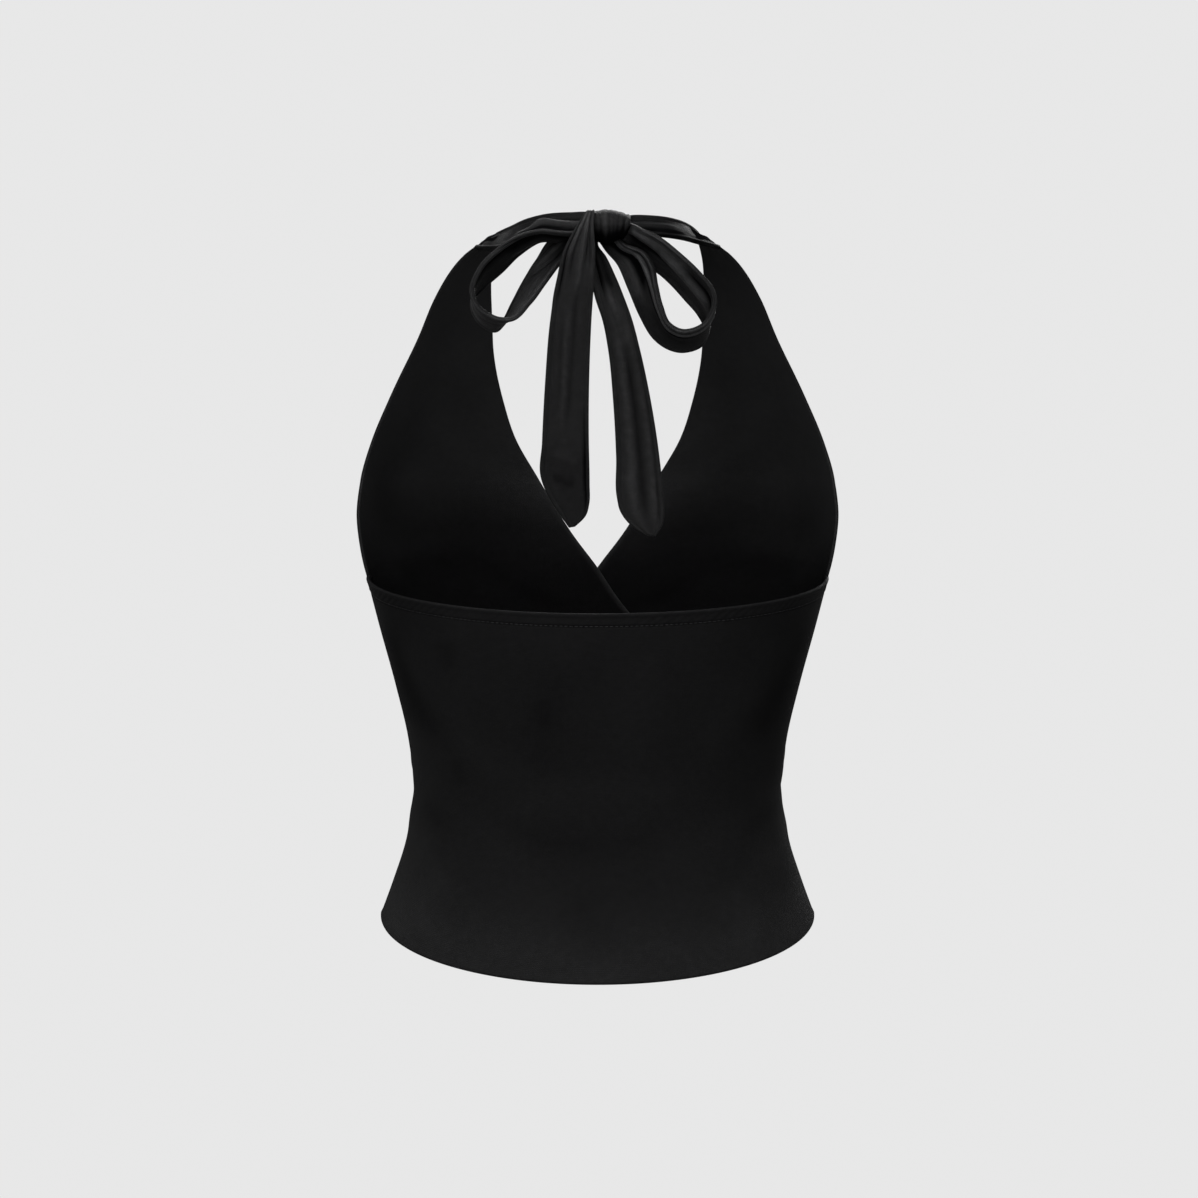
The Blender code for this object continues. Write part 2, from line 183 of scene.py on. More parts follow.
# %% Lights
SOFT_BOXES = (
    # name            place                 wide  high  watts
    ("soft_box_main",  (0.20, 2.5, -0.55),   1.4,  1.2,  28.0),
    ("soft_box_top",   (0.0, 0.45, 1.70),    2.0,  1.0,  40.0),
    ("soft_box_left",  (1.45, 0.75, 1.30),   0.8,  0.8,  15.0),
    ("soft_box_right", (-1.45, 0.75, 1.30),  0.8,  0.8,  9.0),
    ("soft_box_front", (-0.4, -2.5, 0.5),    1.8,  1.6,  34.0))


def add_soft_box(name, place, wide, high, watts):
    """Rectangular light, turned to face the middle of the top."""
    data = bpy.data.lights.new(name, "AREA")
    data.shape = "RECTANGLE"
    data.size = wide
    data.size_y = high
    data.energy = watts
    light = add_object(name, data)
    light.location = place
    light.rotation_euler = (AIM - Vector(place)).to_track_quat("-Z", "Y").to_euler()


for soft_box in SOFT_BOXES:
    add_soft_box(*soft_box)
print("soft boxes:", len(SOFT_BOXES))

# %% [markdown]
# ## Reading a smooth shape from a short table
#
# A pattern cutter measures a garment at a few levels and draws a smooth line through the marks.
# The same is done here. Each table row is one level, and a cubic curve runs through each column.
# A spline object could do it too, but plain arrays let every later step reuse the numbers.

# %% Tables and curves through them


def table(columns, *rows):
    """Short table as named columns, one row for each section."""
    return dict(zip(columns.split(), np.array(rows, dtype=float).T))


def slopes(knots, values, limited):
    """Slope at each knot, from a parabola through it and its neighbours.

    Limited slopes never let the curve pass beyond a flat or a turn.
    """
    steps = np.diff(knots)[:, None]
    rises = np.diff(values, axis=0) / steps
    middle = (rises[:-1] * steps[1:] + rises[1:] * steps[:-1]) / (steps[:-1] + steps[1:])
    if limited:
        least = 2.0 * np.minimum(np.abs(rises[:-1]), np.abs(rises[1:]))
        middle = np.where(rises[:-1] * rises[1:] > 0.0,
                          np.sign(middle) * np.minimum(np.abs(middle), least), 0.0)
    return np.vstack((rises[:1], middle, rises[-1:]))


def curve_through(knots, values, at, limited=False):
    """Cubic curve through the rows of values: each span blends its two ends and their slopes."""
    slope = slopes(knots, values, limited)
    index = np.clip(np.searchsorted(knots, at, side="right") - 1, 0, len(knots) - 2)
    step = (knots[index + 1] - knots[index])[:, None]
    t = (at - knots[index])[:, None] / step
    return ((2 * t**3 - 3 * t**2 + 1) * values[index] + (t**3 - 2 * t**2 + t) * step * slope[index]
            + (3 * t**2 - 2 * t**3) * values[index + 1] + (t**3 - t**2) * step * slope[index + 1])


def read_table(columns, knots, at, limited=False):
    """The table's columns again, at the given distances along its knots."""
    values = np.column_stack(list(columns.values()))
    return dict(zip(columns, curve_through(knots, values, at, limited).T))


def points_of(columns, *names):
    """Columns side by side, as one row of coordinates for each section."""
    return np.column_stack([columns[name] for name in names])


def distances(points):
    """Distance run along a line of points, starting at zero."""
    return np.concatenate(([0.0], np.cumsum(np.linalg.norm(np.diff(points, axis=0), axis=1))))


# %% [markdown]
# ## Edges of cloth
#
# Nothing gives away a computer's cloth sooner than a square edge. A seam rolls over a small
# radius, a turned hem over a larger one, and the pressed tube of a neck tie shows two lips with a
# groove between them. Each edge is a short profile: how far in from the edge a point lies, and
# what share of the cloth's half thickness it has there. The grid's first and last columns are
# laid at those insets, and the columns between them are even.

# %% Edge profiles
SEAM_EDGE = table(
    "inset  thickness",
    (0.00,  0.00),
    (0.10,  0.50),
    (0.35,  0.85),
    (0.75,  1.00))
FOLD_EDGE = table(
    "inset  thickness",
    (0.00,  0.00),
    (0.10,  0.62),
    (0.40,  1.15),
    (0.95,  1.42),
    (2.00,  1.30))
TUBE_EDGE = table(
    "inset  thickness",
    (1.90,  0.00),
    (1.15,  0.10),
    (0.45,  0.30),
    (0.05,  0.64),
    (0.00,  1.02),
    (0.35,  1.38),
    (1.10,  1.50),
    (2.00,  1.42),
    (2.80,  0.85),
    (3.50,  0.80),
    (4.60,  1.00))
NARROWEST = 4.0             # an edge profile shrinks where the cloth is narrower than this many


def spaced(total, count, first, last):
    """Distances across each row of cloth, and the share of its thickness at each.

    The first edge's insets, then even steps, then the last edge's insets from the far side.
    total holds one width for each row, and where it is narrow the insets shrink with it.
    """
    total = np.atleast_1d(np.asarray(total, dtype=float))[:, None]
    deepest = max(first["inset"].max(), last["inset"].max())
    squeeze = np.minimum(1.0, total / (NARROWEST * deepest))
    start = first["inset"] * squeeze
    end = total - last["inset"][::-1] * squeeze
    even = np.linspace(0.0, 1.0, count + 2)[1:-1]
    middle = start[:, -1:] + (end[:, :1] - start[:, -1:]) * even
    between = first["thickness"][-1] + (last["thickness"][-1] - first["thickness"][-1]) * even
    thickness = np.concatenate((first["thickness"], between, last["thickness"][::-1]))
    return np.hstack((start, middle, end)), thickness


# %% [markdown]
# ## From a sheet of points to a closed shell
#
# Blender's Solidify modifier gives cloth the same thickness all over, with square edges. Here the
# two faces are worked out instead: the sheet is the middle of the cloth, and each face is the
# sheet moved along its normal by a height of its own. At the border both heights are nothing, so
# both faces share their border points and the shell is closed.

# %% Shells


def unit(vectors):
    """The same directions, each one long."""
    return vectors / np.linalg.norm(vectors, axis=-1, keepdims=True)


def normals(points):
    """Unit normal at each grid point: the column direction crossed with the row direction."""
    return unit(np.cross(np.gradient(points, axis=1), np.gradient(points, axis=0)))


def add_mesh(name, points, faces, cloth_place, material, shade=None):
    """Mesh object at the origin, smooth, with its place on the cloth as a UV map in metres.

    shade is kept as a point attribute: below 0 for a painted highlight, up to 1 where painted
    shade makes it blackest.
    """
    mesh = bpy.data.meshes.new(name)
    mesh.from_pydata((points * MM).tolist(), [], faces)
    corner = np.empty(len(mesh.loops), dtype=np.int32)
    mesh.loops.foreach_get("vertex_index", corner)
    layer = mesh.uv_layers.new(name="cloth")
    layer.data.foreach_set("uv", (cloth_place[corner] * MM).astype(np.float32).ravel())
    depth = mesh.attributes.new("shade", "FLOAT", "POINT")
    depth.data.foreach_set("value", np.zeros(len(points)) if shade is None else shade)
    mesh.shade_smooth()
    mesh.materials.append(material)
    return add_object(name, mesh)


def add_shell(name, material, sheet, outer, inner, across, along, front_shade, back_shade):
    """Closed shell: the front is sheet + outer x normal, and the back is sheet - inner x normal.

    across and along say where each point lies on the flat cloth.
    """
    normal = normals(sheet)
    front = sheet + normal * outer[:, :, None]
    back = sheet - normal * inner[:, :, None]
    rows, columns = outer.shape
    index = np.arange(rows * columns).reshape(rows, columns)
    under = index.copy()
    under[1:-1, 1:-1] = rows * columns + np.arange((rows - 2) * (columns - 2)).reshape(
        rows - 2, columns - 2)
    points = np.vstack((front.reshape(-1, 3), back[1:-1, 1:-1].reshape(-1, 3)))
    place = np.stack((across, along), axis=2)
    place = np.vstack((place.reshape(-1, 2), place[1:-1, 1:-1].reshape(-1, 2)))
    faces = quads_of(index).tolist() + quads_of(under)[:, ::-1].tolist()
    shade = np.concatenate((front_shade.ravel(), back_shade[1:-1, 1:-1].ravel()))
    piece = add_mesh(name, points, faces, place, material, shade)
    print(f"{name}: {2 * len(faces)} triangles, {sheet_area(sheet) / 1e6:.4f} square metres of cloth")
    return piece


def sheet_area(sheet):
    """Area of a grid: half the cross product of each cell's diagonals, added up."""
    one = sheet[1:, 1:] - sheet[:-1, :-1]
    other = sheet[1:, :-1] - sheet[:-1, 1:]
    return np.linalg.norm(np.cross(one, other), axis=2).sum() / 2.0


# %% [markdown]
# ## Creases
#
# A cloth simulation gives random folds, and the folds of a worn top are not random: they sit at
# the waist, at a stitched edge, and where a tie is gathered. So each one is placed on the flat
# cloth: where it starts and ends, how far it bows, how wide and how high it is. A negative
# height is a trough. Each fold also leaves painted shade in its hollows and a painted highlight
# on its ridges, which the material reads later.

# %% Soft folds
RESTING_SHADE = 0.40        # painted shade of flat cloth, where 1 is the blackest
FOLD_SHADING_STEP = 0.30                 # change of painted shade for the first millimetre of relief
FOLD_SHADING_MOST = 0.34            # and for a very large one
DEEPEST_SHADE = 0.92
PALEST_SHADE = -0.35
FULL_SHARE = 0.6            # share of a fold's length over which it keeps its height
FADE_SHARE = 0.3            # and over which it then fades


def fold_table(*rows):
    """Table of folds, or of shades with an added shade in place of a height."""
    return table("from_across from_along to_across to_along bow width height", *rows)


def folds_on(across, along, folds):
    """Height of all the folds at each point of the cloth.

    Across a fold the height falls off as exp(-(distance / width) squared). Along it the height is
    full over the middle three fifths and falls off the same way beyond them.
    """
    height = np.zeros(across.shape)
    for x0, y0, x1, y1, bow, width, rise in zip(*folds.values()):
        run = math.hypot(x1 - x0, y1 - y0)
        share = ((across - x0) * (x1 - x0) + (along - y0) * (y1 - y0)) / run**2
        arch = 4.0 * np.clip(share, 0.0, 1.0) * (1.0 - np.clip(share, 0.0, 1.0))
        off = ((across - x0) * (y1 - y0) - (along - y0) * (x1 - x0)) / run - bow * arch
        beyond = np.maximum(np.abs(2.0 * share - 1.0) - FULL_SHARE, 0.0)
        height += rise * np.exp(-(off / width)**2 - (beyond / FADE_SHARE)**2)
    return height


def painted_fold_shading(relief):
    """Painted shade of a face with this relief: a painted highlight where it stands proud, and
    painted shade in its hollows.

    It is resting - most x tanh(relief x step / most), which levels off on a large fold.
    """
    return RESTING_SHADE - FOLD_SHADING_MOST * np.tanh(relief * FOLD_SHADING_STEP / FOLD_SHADING_MOST)


def shaded(relief, across, along, shades):
    """Painted shade of a face: what its relief leaves, and the darker or paler places listed."""
    shade = painted_fold_shading(relief) + folds_on(across, along, shades)
    return np.clip(shade, PALEST_SHADE, DEEPEST_SHADE)


# %% [markdown]
# ## Black jersey
#
# Jersey is a knit. Its face is columns of small V shapes, about one millimetre wide, and each V
# has two slanting legs. Its black is never flat: the tops of the stitches catch more light than
# the gaps, and the dye varies a little over a hand's width. An image texture would slide or
# stretch on the shaped pieces, so the stitches are worked out from each piece's own place on the
# cloth, which its UV map holds in metres.

# %% Material helper


class Recipe:
    """A material being put together: each call adds one node and gives back its output."""

    def __init__(self, name, roughness_range, **shader_values):
        self.material = bpy.data.materials.new(name)
        self.material.use_nodes = True
        self.tree = self.material.node_tree
        self.shader = self.tree.nodes["Principled BSDF"]
        self.roughness_range = roughness_range
        for socket, value in shader_values.items():
            self.shader.inputs[socket.replace("_", " ")].default_value = value

    def feed(self, socket, value):
        """Link an output into a socket, or set the socket to a plain value."""
        if isinstance(value, bpy.types.NodeSocket):
            self.tree.links.new(value, socket)
        else:
            socket.default_value = value

    def maths(self, operation, *values):
        """One Math node."""
        node = self.tree.nodes.new("ShaderNodeMath")
        node.operation = operation
        for socket, value in zip(node.inputs, values):
            self.feed(socket, value)
        return node.outputs[0]

    def cloth_place(self):
        """Across and along on the flat cloth, in metres."""
        uv = self.tree.nodes.new("ShaderNodeUVMap")
        uv.uv_map = "cloth"
        parts = self.tree.nodes.new("ShaderNodeSeparateXYZ")
        self.tree.links.new(uv.outputs[0], parts.inputs[0])
        return parts.outputs[0], parts.outputs[1]

    def noise(self, scale, detail=2.0):
        """Noise over the piece's own space; scale counts its blobs in a metre."""
        place = self.tree.nodes.new("ShaderNodeTexCoord")
        node = self.tree.nodes.new("ShaderNodeTexNoise")
        node.inputs["Scale"].default_value = scale
        node.inputs["Detail"].default_value = detail
        self.tree.links.new(place.outputs["Object"], node.inputs["Vector"])
        return node.outputs[0]

    def shade(self):
        """The piece's own painted shade: below 0 for a painted highlight, up to 1 where blackest."""
        node = self.tree.nodes.new("ShaderNodeAttribute")
        node.attribute_name = "shade"
        return node.outputs["Fac"]

    def colours(self, share, *stops):
        """Base colour that runs through the given colours with a share of 0 to 1."""
        ramp = self.tree.nodes.new("ShaderNodeValToRGB")
        elements = ramp.color_ramp.elements
        for place in np.linspace(0.0, 1.0, len(stops))[1:-1]:
            elements.new(place)
        for element, stop in zip(elements, stops):
            element.color = (*stop, 1.0)
        self.feed(ramp.inputs[0], share)
        self.tree.links.new(ramp.outputs[0], self.shader.inputs["Base Color"])

    def gloss(self, share):
        """Roughness that runs over its range with a share."""
        node = self.tree.nodes.new("ShaderNodeMapRange")
        node.inputs["To Min"].default_value, node.inputs["To Max"].default_value = (
            self.roughness_range)
        self.feed(node.inputs["Value"], share)
        self.tree.links.new(node.outputs[0], self.shader.inputs["Roughness"])

    def bump(self, height, distance, strength, under=None):
        """Relief of the given height in metres, over an earlier relief."""
        node = self.tree.nodes.new("ShaderNodeBump")
        node.inputs["Distance"].default_value = distance
        node.inputs["Strength"].default_value = strength
        self.feed(node.inputs["Height"], height)
        if under is not None:
            self.tree.links.new(under, node.inputs["Normal"])
        return node.outputs[0]


# %% [markdown]
# Each V is two waves multiplied. One wave runs down the column and is pushed down towards the
# column's middle, which slants the legs. The other is nothing at the middle and the borders of
# the column and full between them, which parts the two legs.

# %% Jersey
WALE = 0.0011               # width of one column of stitches
COURSE = 0.0009             # height of one row of stitches
LEG_SLANT = 1.6             # rows by which a leg drops from the column's border to its middle
DYE_SCALE = 28.0            # blobs in a metre: uneven dye, lumps, rubbed pile and loose fibres
LUMP_SCALE = 75.0
PILE_SCALE = 240.0
FUZZ_SCALE = 1500.0
STITCH_TONE = 0.35          # what stitches, dye and loose fibres each add to the tone
DYE_TONE = 0.6
FUZZ_TONE = 0.25
GLOSS_SLOPE = 1.25          # gloss falls faster than colour, and ends a fifth before the blackest


def stitches(recipe, wale, course):
    """Height of the knitted face, 0 to 1: down wave times leg wave."""
    across, along = recipe.cloth_place()
    column = recipe.maths("FRACT", recipe.maths("DIVIDE", across, wale))
    from_middle = recipe.maths("ABSOLUTE", recipe.maths("SUBTRACT", column, 0.5))
    pushed = recipe.maths("MULTIPLY_ADD", from_middle, LEG_SLANT,
                          recipe.maths("DIVIDE", along, course))
    down = recipe.maths("COSINE", recipe.maths("MULTIPLY", pushed, 2.0 * math.pi))
    leg = recipe.maths("SINE", recipe.maths("MULTIPLY", from_middle, 2.0 * math.pi))
    lifted = recipe.maths("MULTIPLY_ADD", down, 0.5, 0.5)
    return recipe.maths("MULTIPLY", lifted, leg)


def jersey(name, deep, dark, light, roughness_range, wale, course, relief, mottle, specular,
           sheen, **shader_values):
    """Knit material: stitches in its relief and colour, with slow changes of dye and gloss.

    The colour runs over the upper half of its ramp. Painted shade draws it down to the deep one
    and takes its gloss and its sheen away as well, and a painted highlight lifts all three.
    """
    recipe = Recipe(name, roughness_range, **shader_values)
    face = stitches(recipe, wale, course)
    dye = recipe.noise(DYE_SCALE, 4.0)
    fuzz = recipe.noise(FUZZ_SCALE, 2.0)
    pile = recipe.maths("SUBTRACT", recipe.noise(PILE_SCALE, 3.0), 0.5)
    pile = recipe.maths("MULTIPLY", pile, mottle)
    tone = recipe.maths("MULTIPLY_ADD", face, STITCH_TONE,
                        recipe.maths("MULTIPLY", dye, DYE_TONE))
    tone = recipe.maths("MULTIPLY_ADD", fuzz, FUZZ_TONE, recipe.maths("SUBTRACT", tone, 0.1))
    tone = recipe.maths("ADD", tone, pile)
    lit = recipe.maths("MULTIPLY_ADD", recipe.shade(), -1.0, 1.0)
    gleam = recipe.maths("MULTIPLY_ADD", lit, GLOSS_SLOPE, 1.0 - GLOSS_SLOPE)
    gleam = recipe.maths("MAXIMUM", gleam, 0.0)
    recipe.feed(recipe.shader.inputs["Specular IOR Level"],
                recipe.maths("MULTIPLY", gleam, specular))
    recipe.feed(recipe.shader.inputs["Sheen Weight"], recipe.maths("MULTIPLY", gleam, sheen))
    recipe.colours(recipe.maths("MULTIPLY", recipe.maths("MULTIPLY_ADD", tone, 0.5, 0.5), lit),
                   deep, dark, light)
    recipe.gloss(recipe.maths("MULTIPLY_ADD", dye, 0.6, recipe.maths("MULTIPLY", face, -0.3)))
    soft = recipe.bump(recipe.noise(LUMP_SCALE, 2.0), 0.0006, 0.35)
    knit = recipe.bump(face, relief, 0.6, soft)
    recipe.tree.links.new(recipe.bump(fuzz, 0.00012, 0.35, knit), recipe.shader.inputs["Normal"])
    return recipe.material


body_jersey = jersey("body_jersey", (0.0010, 0.0010, 0.0011), (0.0080, 0.0080, 0.0083),
                     (0.0185, 0.0185, 0.0190), (0.58, 0.74), WALE, COURSE, relief=0.00025,
                     mottle=0.7, specular=0.10, sheen=0.016, Sheen_Roughness=0.5)
# The halter jersey is the body jersey made paler, which paints light on the halters' inner faces.
halter_jersey = jersey("halter_jersey", (0.0008, 0.0008, 0.0009), (0.0205, 0.0205, 0.0211),
                       (0.0385, 0.0385, 0.0395), (0.60, 0.76), WALE, COURSE, relief=0.00025,
                       mottle=0.4, specular=0.09, sheen=0.014, Sheen_Roughness=0.5)
print("body and halter jersey:", body_jersey.name, halter_jersey.name)

# %% [markdown]
# The ties are the same yarn knitted finer and pressed, so they shine a little more. The sewing
# thread is smoother than the cloth that it sinks into.

# %% Tie jersey and thread
tie_jersey = jersey("tie_jersey", (0.0008, 0.0008, 0.0009), (0.0092, 0.0092, 0.0096),
                    (0.0300, 0.0300, 0.0310), (0.46, 0.62), wale=0.0009, course=0.0008,
                    relief=0.0002, mottle=1.3, specular=0.21, sheen=0.016, Sheen_Roughness=0.45)


def thread_material():
    """Twisted thread: fine slanting plies along each stitch."""
    recipe = Recipe("thread", (0.35, 0.55), Specular_IOR_Level=0.35)
    across, along = recipe.cloth_place()
    slant = recipe.maths("MULTIPLY_ADD", across, 7000.0, recipe.maths("MULTIPLY", along, 9000.0))
    plies = recipe.maths("MULTIPLY_ADD", recipe.maths("SINE", slant), 0.5, 0.5)
    recipe.colours(plies, (0.010, 0.010, 0.011), (0.030, 0.030, 0.032))
    recipe.gloss(plies)
    recipe.tree.links.new(recipe.bump(plies, 0.0001, 0.5), recipe.shader.inputs["Normal"])
    return recipe.material


thread = thread_material()
print("tie jersey and thread:", tie_jersey.name, thread.name)

# %% [markdown]
# ## Panels round the body
#
# Every body panel is a stack of level sections. One section leaves the centre at one heading and
# meets the side at another, and a cubic curve joins them, with handles as long as those of a
# quarter ellipse. Points are laid at even distances of real cloth along it, so that the knit is
# not stretched at the sides.

# %% Sections of the body
WALL = 1.5                  # cloth of the body and the halter panels
SIDE_SEAM_Y = -75.0         # both side seams lie in this plane
SEAM_OVERLAP = 0.7          # panels run this far into each other, so that no seam lets light by
ELLIPSE_HANDLE = 0.5523     # handle of a quarter ellipse, as a share of each half axis
SWELL_SIDEWAYS = 0.30       # a swollen section moves out by these shares of its fullness
SWELL_FORWARD = 0.95
FINE_STEPS = 241            # points that a section's length is measured with
BELOW_MIDDLE = 60.0         # panels face away from a point this far under their middle


def section(edge, side, edge_turn, side_turn, full, share):
    """Curve of cloth from a front or back edge (share 0) round to the side (share 1).

    A cubic curve through the two ends with their headings, swollen over its middle by
    full x sin(pi share) squared. A negative share is the mirror image past the centre.
    """
    run = side - edge
    start = np.column_stack((np.cos(edge_turn), np.sin(edge_turn)))
    end = np.column_stack((np.cos(side_turn), np.sin(side_turn)))
    first = ELLIPSE_HANDLE * np.sum(run[:, :2] * start, axis=1, keepdims=True) * start
    last = ELLIPSE_HANDLE * np.sum(run[:, :2] * end, axis=1, keepdims=True) * end
    rise = ELLIPSE_HANDLE * run[:, 2:]
    handle_a = edge + np.hstack((first, rise * np.abs(start[:, 1:])))
    handle_b = side - np.hstack((last, rise))
    t = np.abs(share)[:, :, None]
    points = ((1 - t)**3 * edge[:, None] + 3 * t * (1 - t)**2 * handle_a[:, None]
              + 3 * t**2 * (1 - t) * handle_b[:, None] + t**3 * side[:, None])
    swell = full[:, None] * np.sin(np.pi * np.abs(share))**2
    points[:, :, 0] += SWELL_SIDEWAYS * swell
    points[:, :, 1] -= SWELL_FORWARD * swell
    points[:, :, 0] *= np.where(share < 0.0, -1.0, 1.0)
    return points


def lay_sections(shape, first_share, count, first_edge, last_edge):
    """Grid of points on the sections, at even distances of cloth between the two edges.

    The length of each section is added up over fine steps, and its share is then read back at
    the distances that are wanted.
    """
    fine = first_share[:, None] + (1.0 - first_share[:, None]) * np.linspace(0, 1, FINE_STEPS)
    steps = np.linalg.norm(np.diff(section(*shape, fine), axis=1), axis=2)
    run = np.hstack((np.zeros((len(fine), 1)), np.cumsum(steps, axis=1)))
    wanted, thickness = spaced(run[:, -1], count, first_edge, last_edge)
    share = np.array([np.interp(*row) for row in zip(wanted, run, fine)])
    return section(*shape, share), share, wanted, thickness


def outward(points):
    """Unit normals that point away from the body's middle."""
    normal = normals(points)
    middle = np.array((0.0, SIDE_SEAM_Y, points[:, :, 2].mean() - BELOW_MIDDLE))
    away = np.sum(normal * (points - middle), axis=2).sum()
    return normal * np.sign(away)


def middle_of_wall(points, half_wall):
    """Sheet in the middle of the cloth, from the grid of its inner face."""
    return points + outward(points) * half_wall


def rows_down(total, step, first_edge, last_edge, fine_reach=0.0, fine_step=0.6):
    """Distances down a panel, with closer rows over fine_reach from its first edge."""
    start = first_edge["inset"]
    fine = np.arange(start[-1] + fine_step, fine_reach, fine_step)
    from_here = max(start[-1], fine_reach)
    end = total - last_edge["inset"][::-1]
    even = np.linspace(from_here, end[0], max(3, round((end[0] - from_here) / step)) + 1)[1:-1]
    if fine_reach:
        even = np.concatenate(([from_here], even))
    at = np.concatenate((start, fine, even, end))
    ones = np.ones(len(fine) + len(even))
    return at, np.concatenate((first_edge["thickness"], ones, last_edge["thickness"][::-1]))


# %% [markdown]
# ## The back
#
# The back is one panel between the side seams. Its top edge is turned in by 8 mm and stitched
# down, which leaves a band of double cloth, a shallow groove under the stitches and small
# puckers along them. The side seams have their allowance inside. The body of the panel is drawn
# tight, so its creases are few and shallow: they lie at the waist, where the cloth has nowhere to
# go, and run from the side seams towards the middle.

# %% Back panel
BACK = table(
    "side_z   side_x  back_y  back_drop",
    (-218.2,  141.0,  25.0,   9.6),
    (-247.0,  133.8,  22.5,   8.5),
    (-285.0,  123.8,  17.0,   8.0),
    (-320.0,  116.0,  12.0,   8.0),
    (-352.0,  113.2,  10.0,   9.5),
    (-385.0,  118.0,  14.5,   12.5),
    (-410.0,  126.0,  20.5,   16.0),
    (-432.5,  134.2,  27.5,   20.0))
BACK_FOLDS = fold_table(
    ( 172, 118,  118, 132,  4,  6,  0.9),
    ( 172, 128,   96, 146, -6,  8, -0.9),
    ( 174, 142,  108, 160,  5,  9,  0.8),
    (-172, 112, -112, 130, -5,  7,  0.7),
    (-174, 130,  -92, 150,  6,  9, -0.8),
    (-172, 150, -104, 168, -4,  8,  0.6),
    ( -60, 118,   52, 124,  7, 11,  0.5),
    ( -48, 140,   70, 136, -6, 10, -0.5),
    ( 150,  20,   96,  92,  9, 13, -0.9),
    ( 128,  16,   62, 108,  8, 12,  0.6),
    (-148,  18,  -92,  88, -9, 14,   -1),
    (-112,  16,  -58,  96, -7, 12,  0.6),
    (  18,  30,   30, 112,  6, 15, -0.5),
    ( -26,  26,  -18, 104, -5, 14,  0.5),
    (  96, 168,  120, 206,  4, 14,  0.8),
    ( -84, 172, -104, 208, -4, 15,  0.7),
    (  10, 168,   -6, 208,  3, 16, -0.6))
# Painted shade down both sides, painted light over the hem and the hips, and a few small darker
# patches.
BACK_SHADES = fold_table(
    (  96,  22,   91,  42, 0,  8,   0.1),
    (  35,  54,   30,  74, 0,  7,  0.08),
    (  92,  98,   86, 116, 0,  7,   0.1),
    ( 134, -20,  128,  96, 8, 30,  0.15),
    (-122, -20, -126, 140, 0, 36,  0.17),
    ( -40, 160,   50, 150, 6, 20,  0.06),
    (-230, 206,  230, 206, 0, 22,  -0.2),
    ( 150, 164,  142, 214, 0, 30,  -0.1),
    (-150, 184, -146, 214, 0, 24, -0.08))
TURNING = 8.0               # depth of the turned top edge
TURNING_RISE = 0.28
# painted shade over the turned band along the top edge
TURNING_SHADE = 0.12
GROOVE_DEPTH = 0.42         # the stitches pull the cloth in by this much
GROOVE_WIDTH = 0.75
PUCKER_SLANT = 1.3          # how far a pucker leans over, for each millimetre down
PUCKER_REACH = 4.2
PUCKER_SHADING = 1.5           # puckers get more painted light and shade than their height alone would give
BODY_FOLD_SHADING = 0.35               # the body's broad folds get less painted light and shade than the ties' narrow ones
BODY_COLUMNS = 156
BACK_STEP = 2.2
TURNED_HEM_REACH = 9.5      # depth and thickness of the turning on its inside
TURNED_HEM_RISE = 0.5
CHEST_LEVEL = -150.0
UNDERBUST_LEVEL = -240.0
INSIDE_SHADE = 0.47         # painted shade added to the inner face between those two levels


def ease(value, start, end):
    """0 up to start, easing to 1 at end."""
    t = np.clip((value - start) / (end - start), 0.0, 1.0)
    return t * t * (3.0 - 2.0 * t)


def on_turning(along):
    """1 on the turned edge and 0 below it, with a soft step between."""
    return 1.0 - ease(along, TURNING - 0.8, TURNING + 0.6)


def turned_edge(along, across):
    """Relief of a turned and stitched edge: a raised band, a groove under the stitches, puckers.

    A pucker is a sine across the cloth. Slow sines change the puckers' spacing and height.
    """
    groove = np.exp(-((along - TURNING) / GROOVE_WIDTH)**2)
    wander = across - PUCKER_SLANT * along + 1.9 * np.sin(across / 19.0)
    uneven = 0.12 + 0.10 * np.sin(across / 33.0 + 3.6) + 0.06 * np.sin(across / 7.3)
    near_band = np.exp(-((along - 0.6 * TURNING) / PUCKER_REACH)**2)
    return (TURNING_RISE * on_turning(along) - GROOVE_DEPTH * groove
            + uneven * np.sin(wander) * near_band)


def seam_allowance(from_seam, reach=8.0, rise=0.9):
    """Extra cloth inside a seam, with a soft step of 2 mm where its overlocked edge ends."""
    return rise * (1.0 - ease(from_seam, reach - 1.6, reach + 0.4))


def body_panel(rows, centre, seam_y, full, side_turn):
    """Panel round half of the body: its sheet, distance from each side seam, and edge thickness.

    rows holds the side seam's x and z, and centre the points of the panel's middle line.
    """
    flat = np.zeros(len(centre))
    side = np.column_stack((rows["side_x"], flat + seam_y, rows["side_z"]))
    shape = (centre, side, flat, flat + side_turn, full)
    points, _, run, edge = lay_sections(shape, flat - 1.0, BODY_COLUMNS, SEAM_EDGE, SEAM_EDGE)
    across = run - run[:, -1:] / 2.0
    return middle_of_wall(points, WALL / 2), across, run[:, -1:] / 2.0 - np.abs(across), edge


def centre_line(rows, y, drop):
    """Middle line of a body panel, which hangs lower than its side seams by a drop."""
    return np.column_stack((0.0 * rows[y], rows[y], rows["side_z"] - rows[drop]))


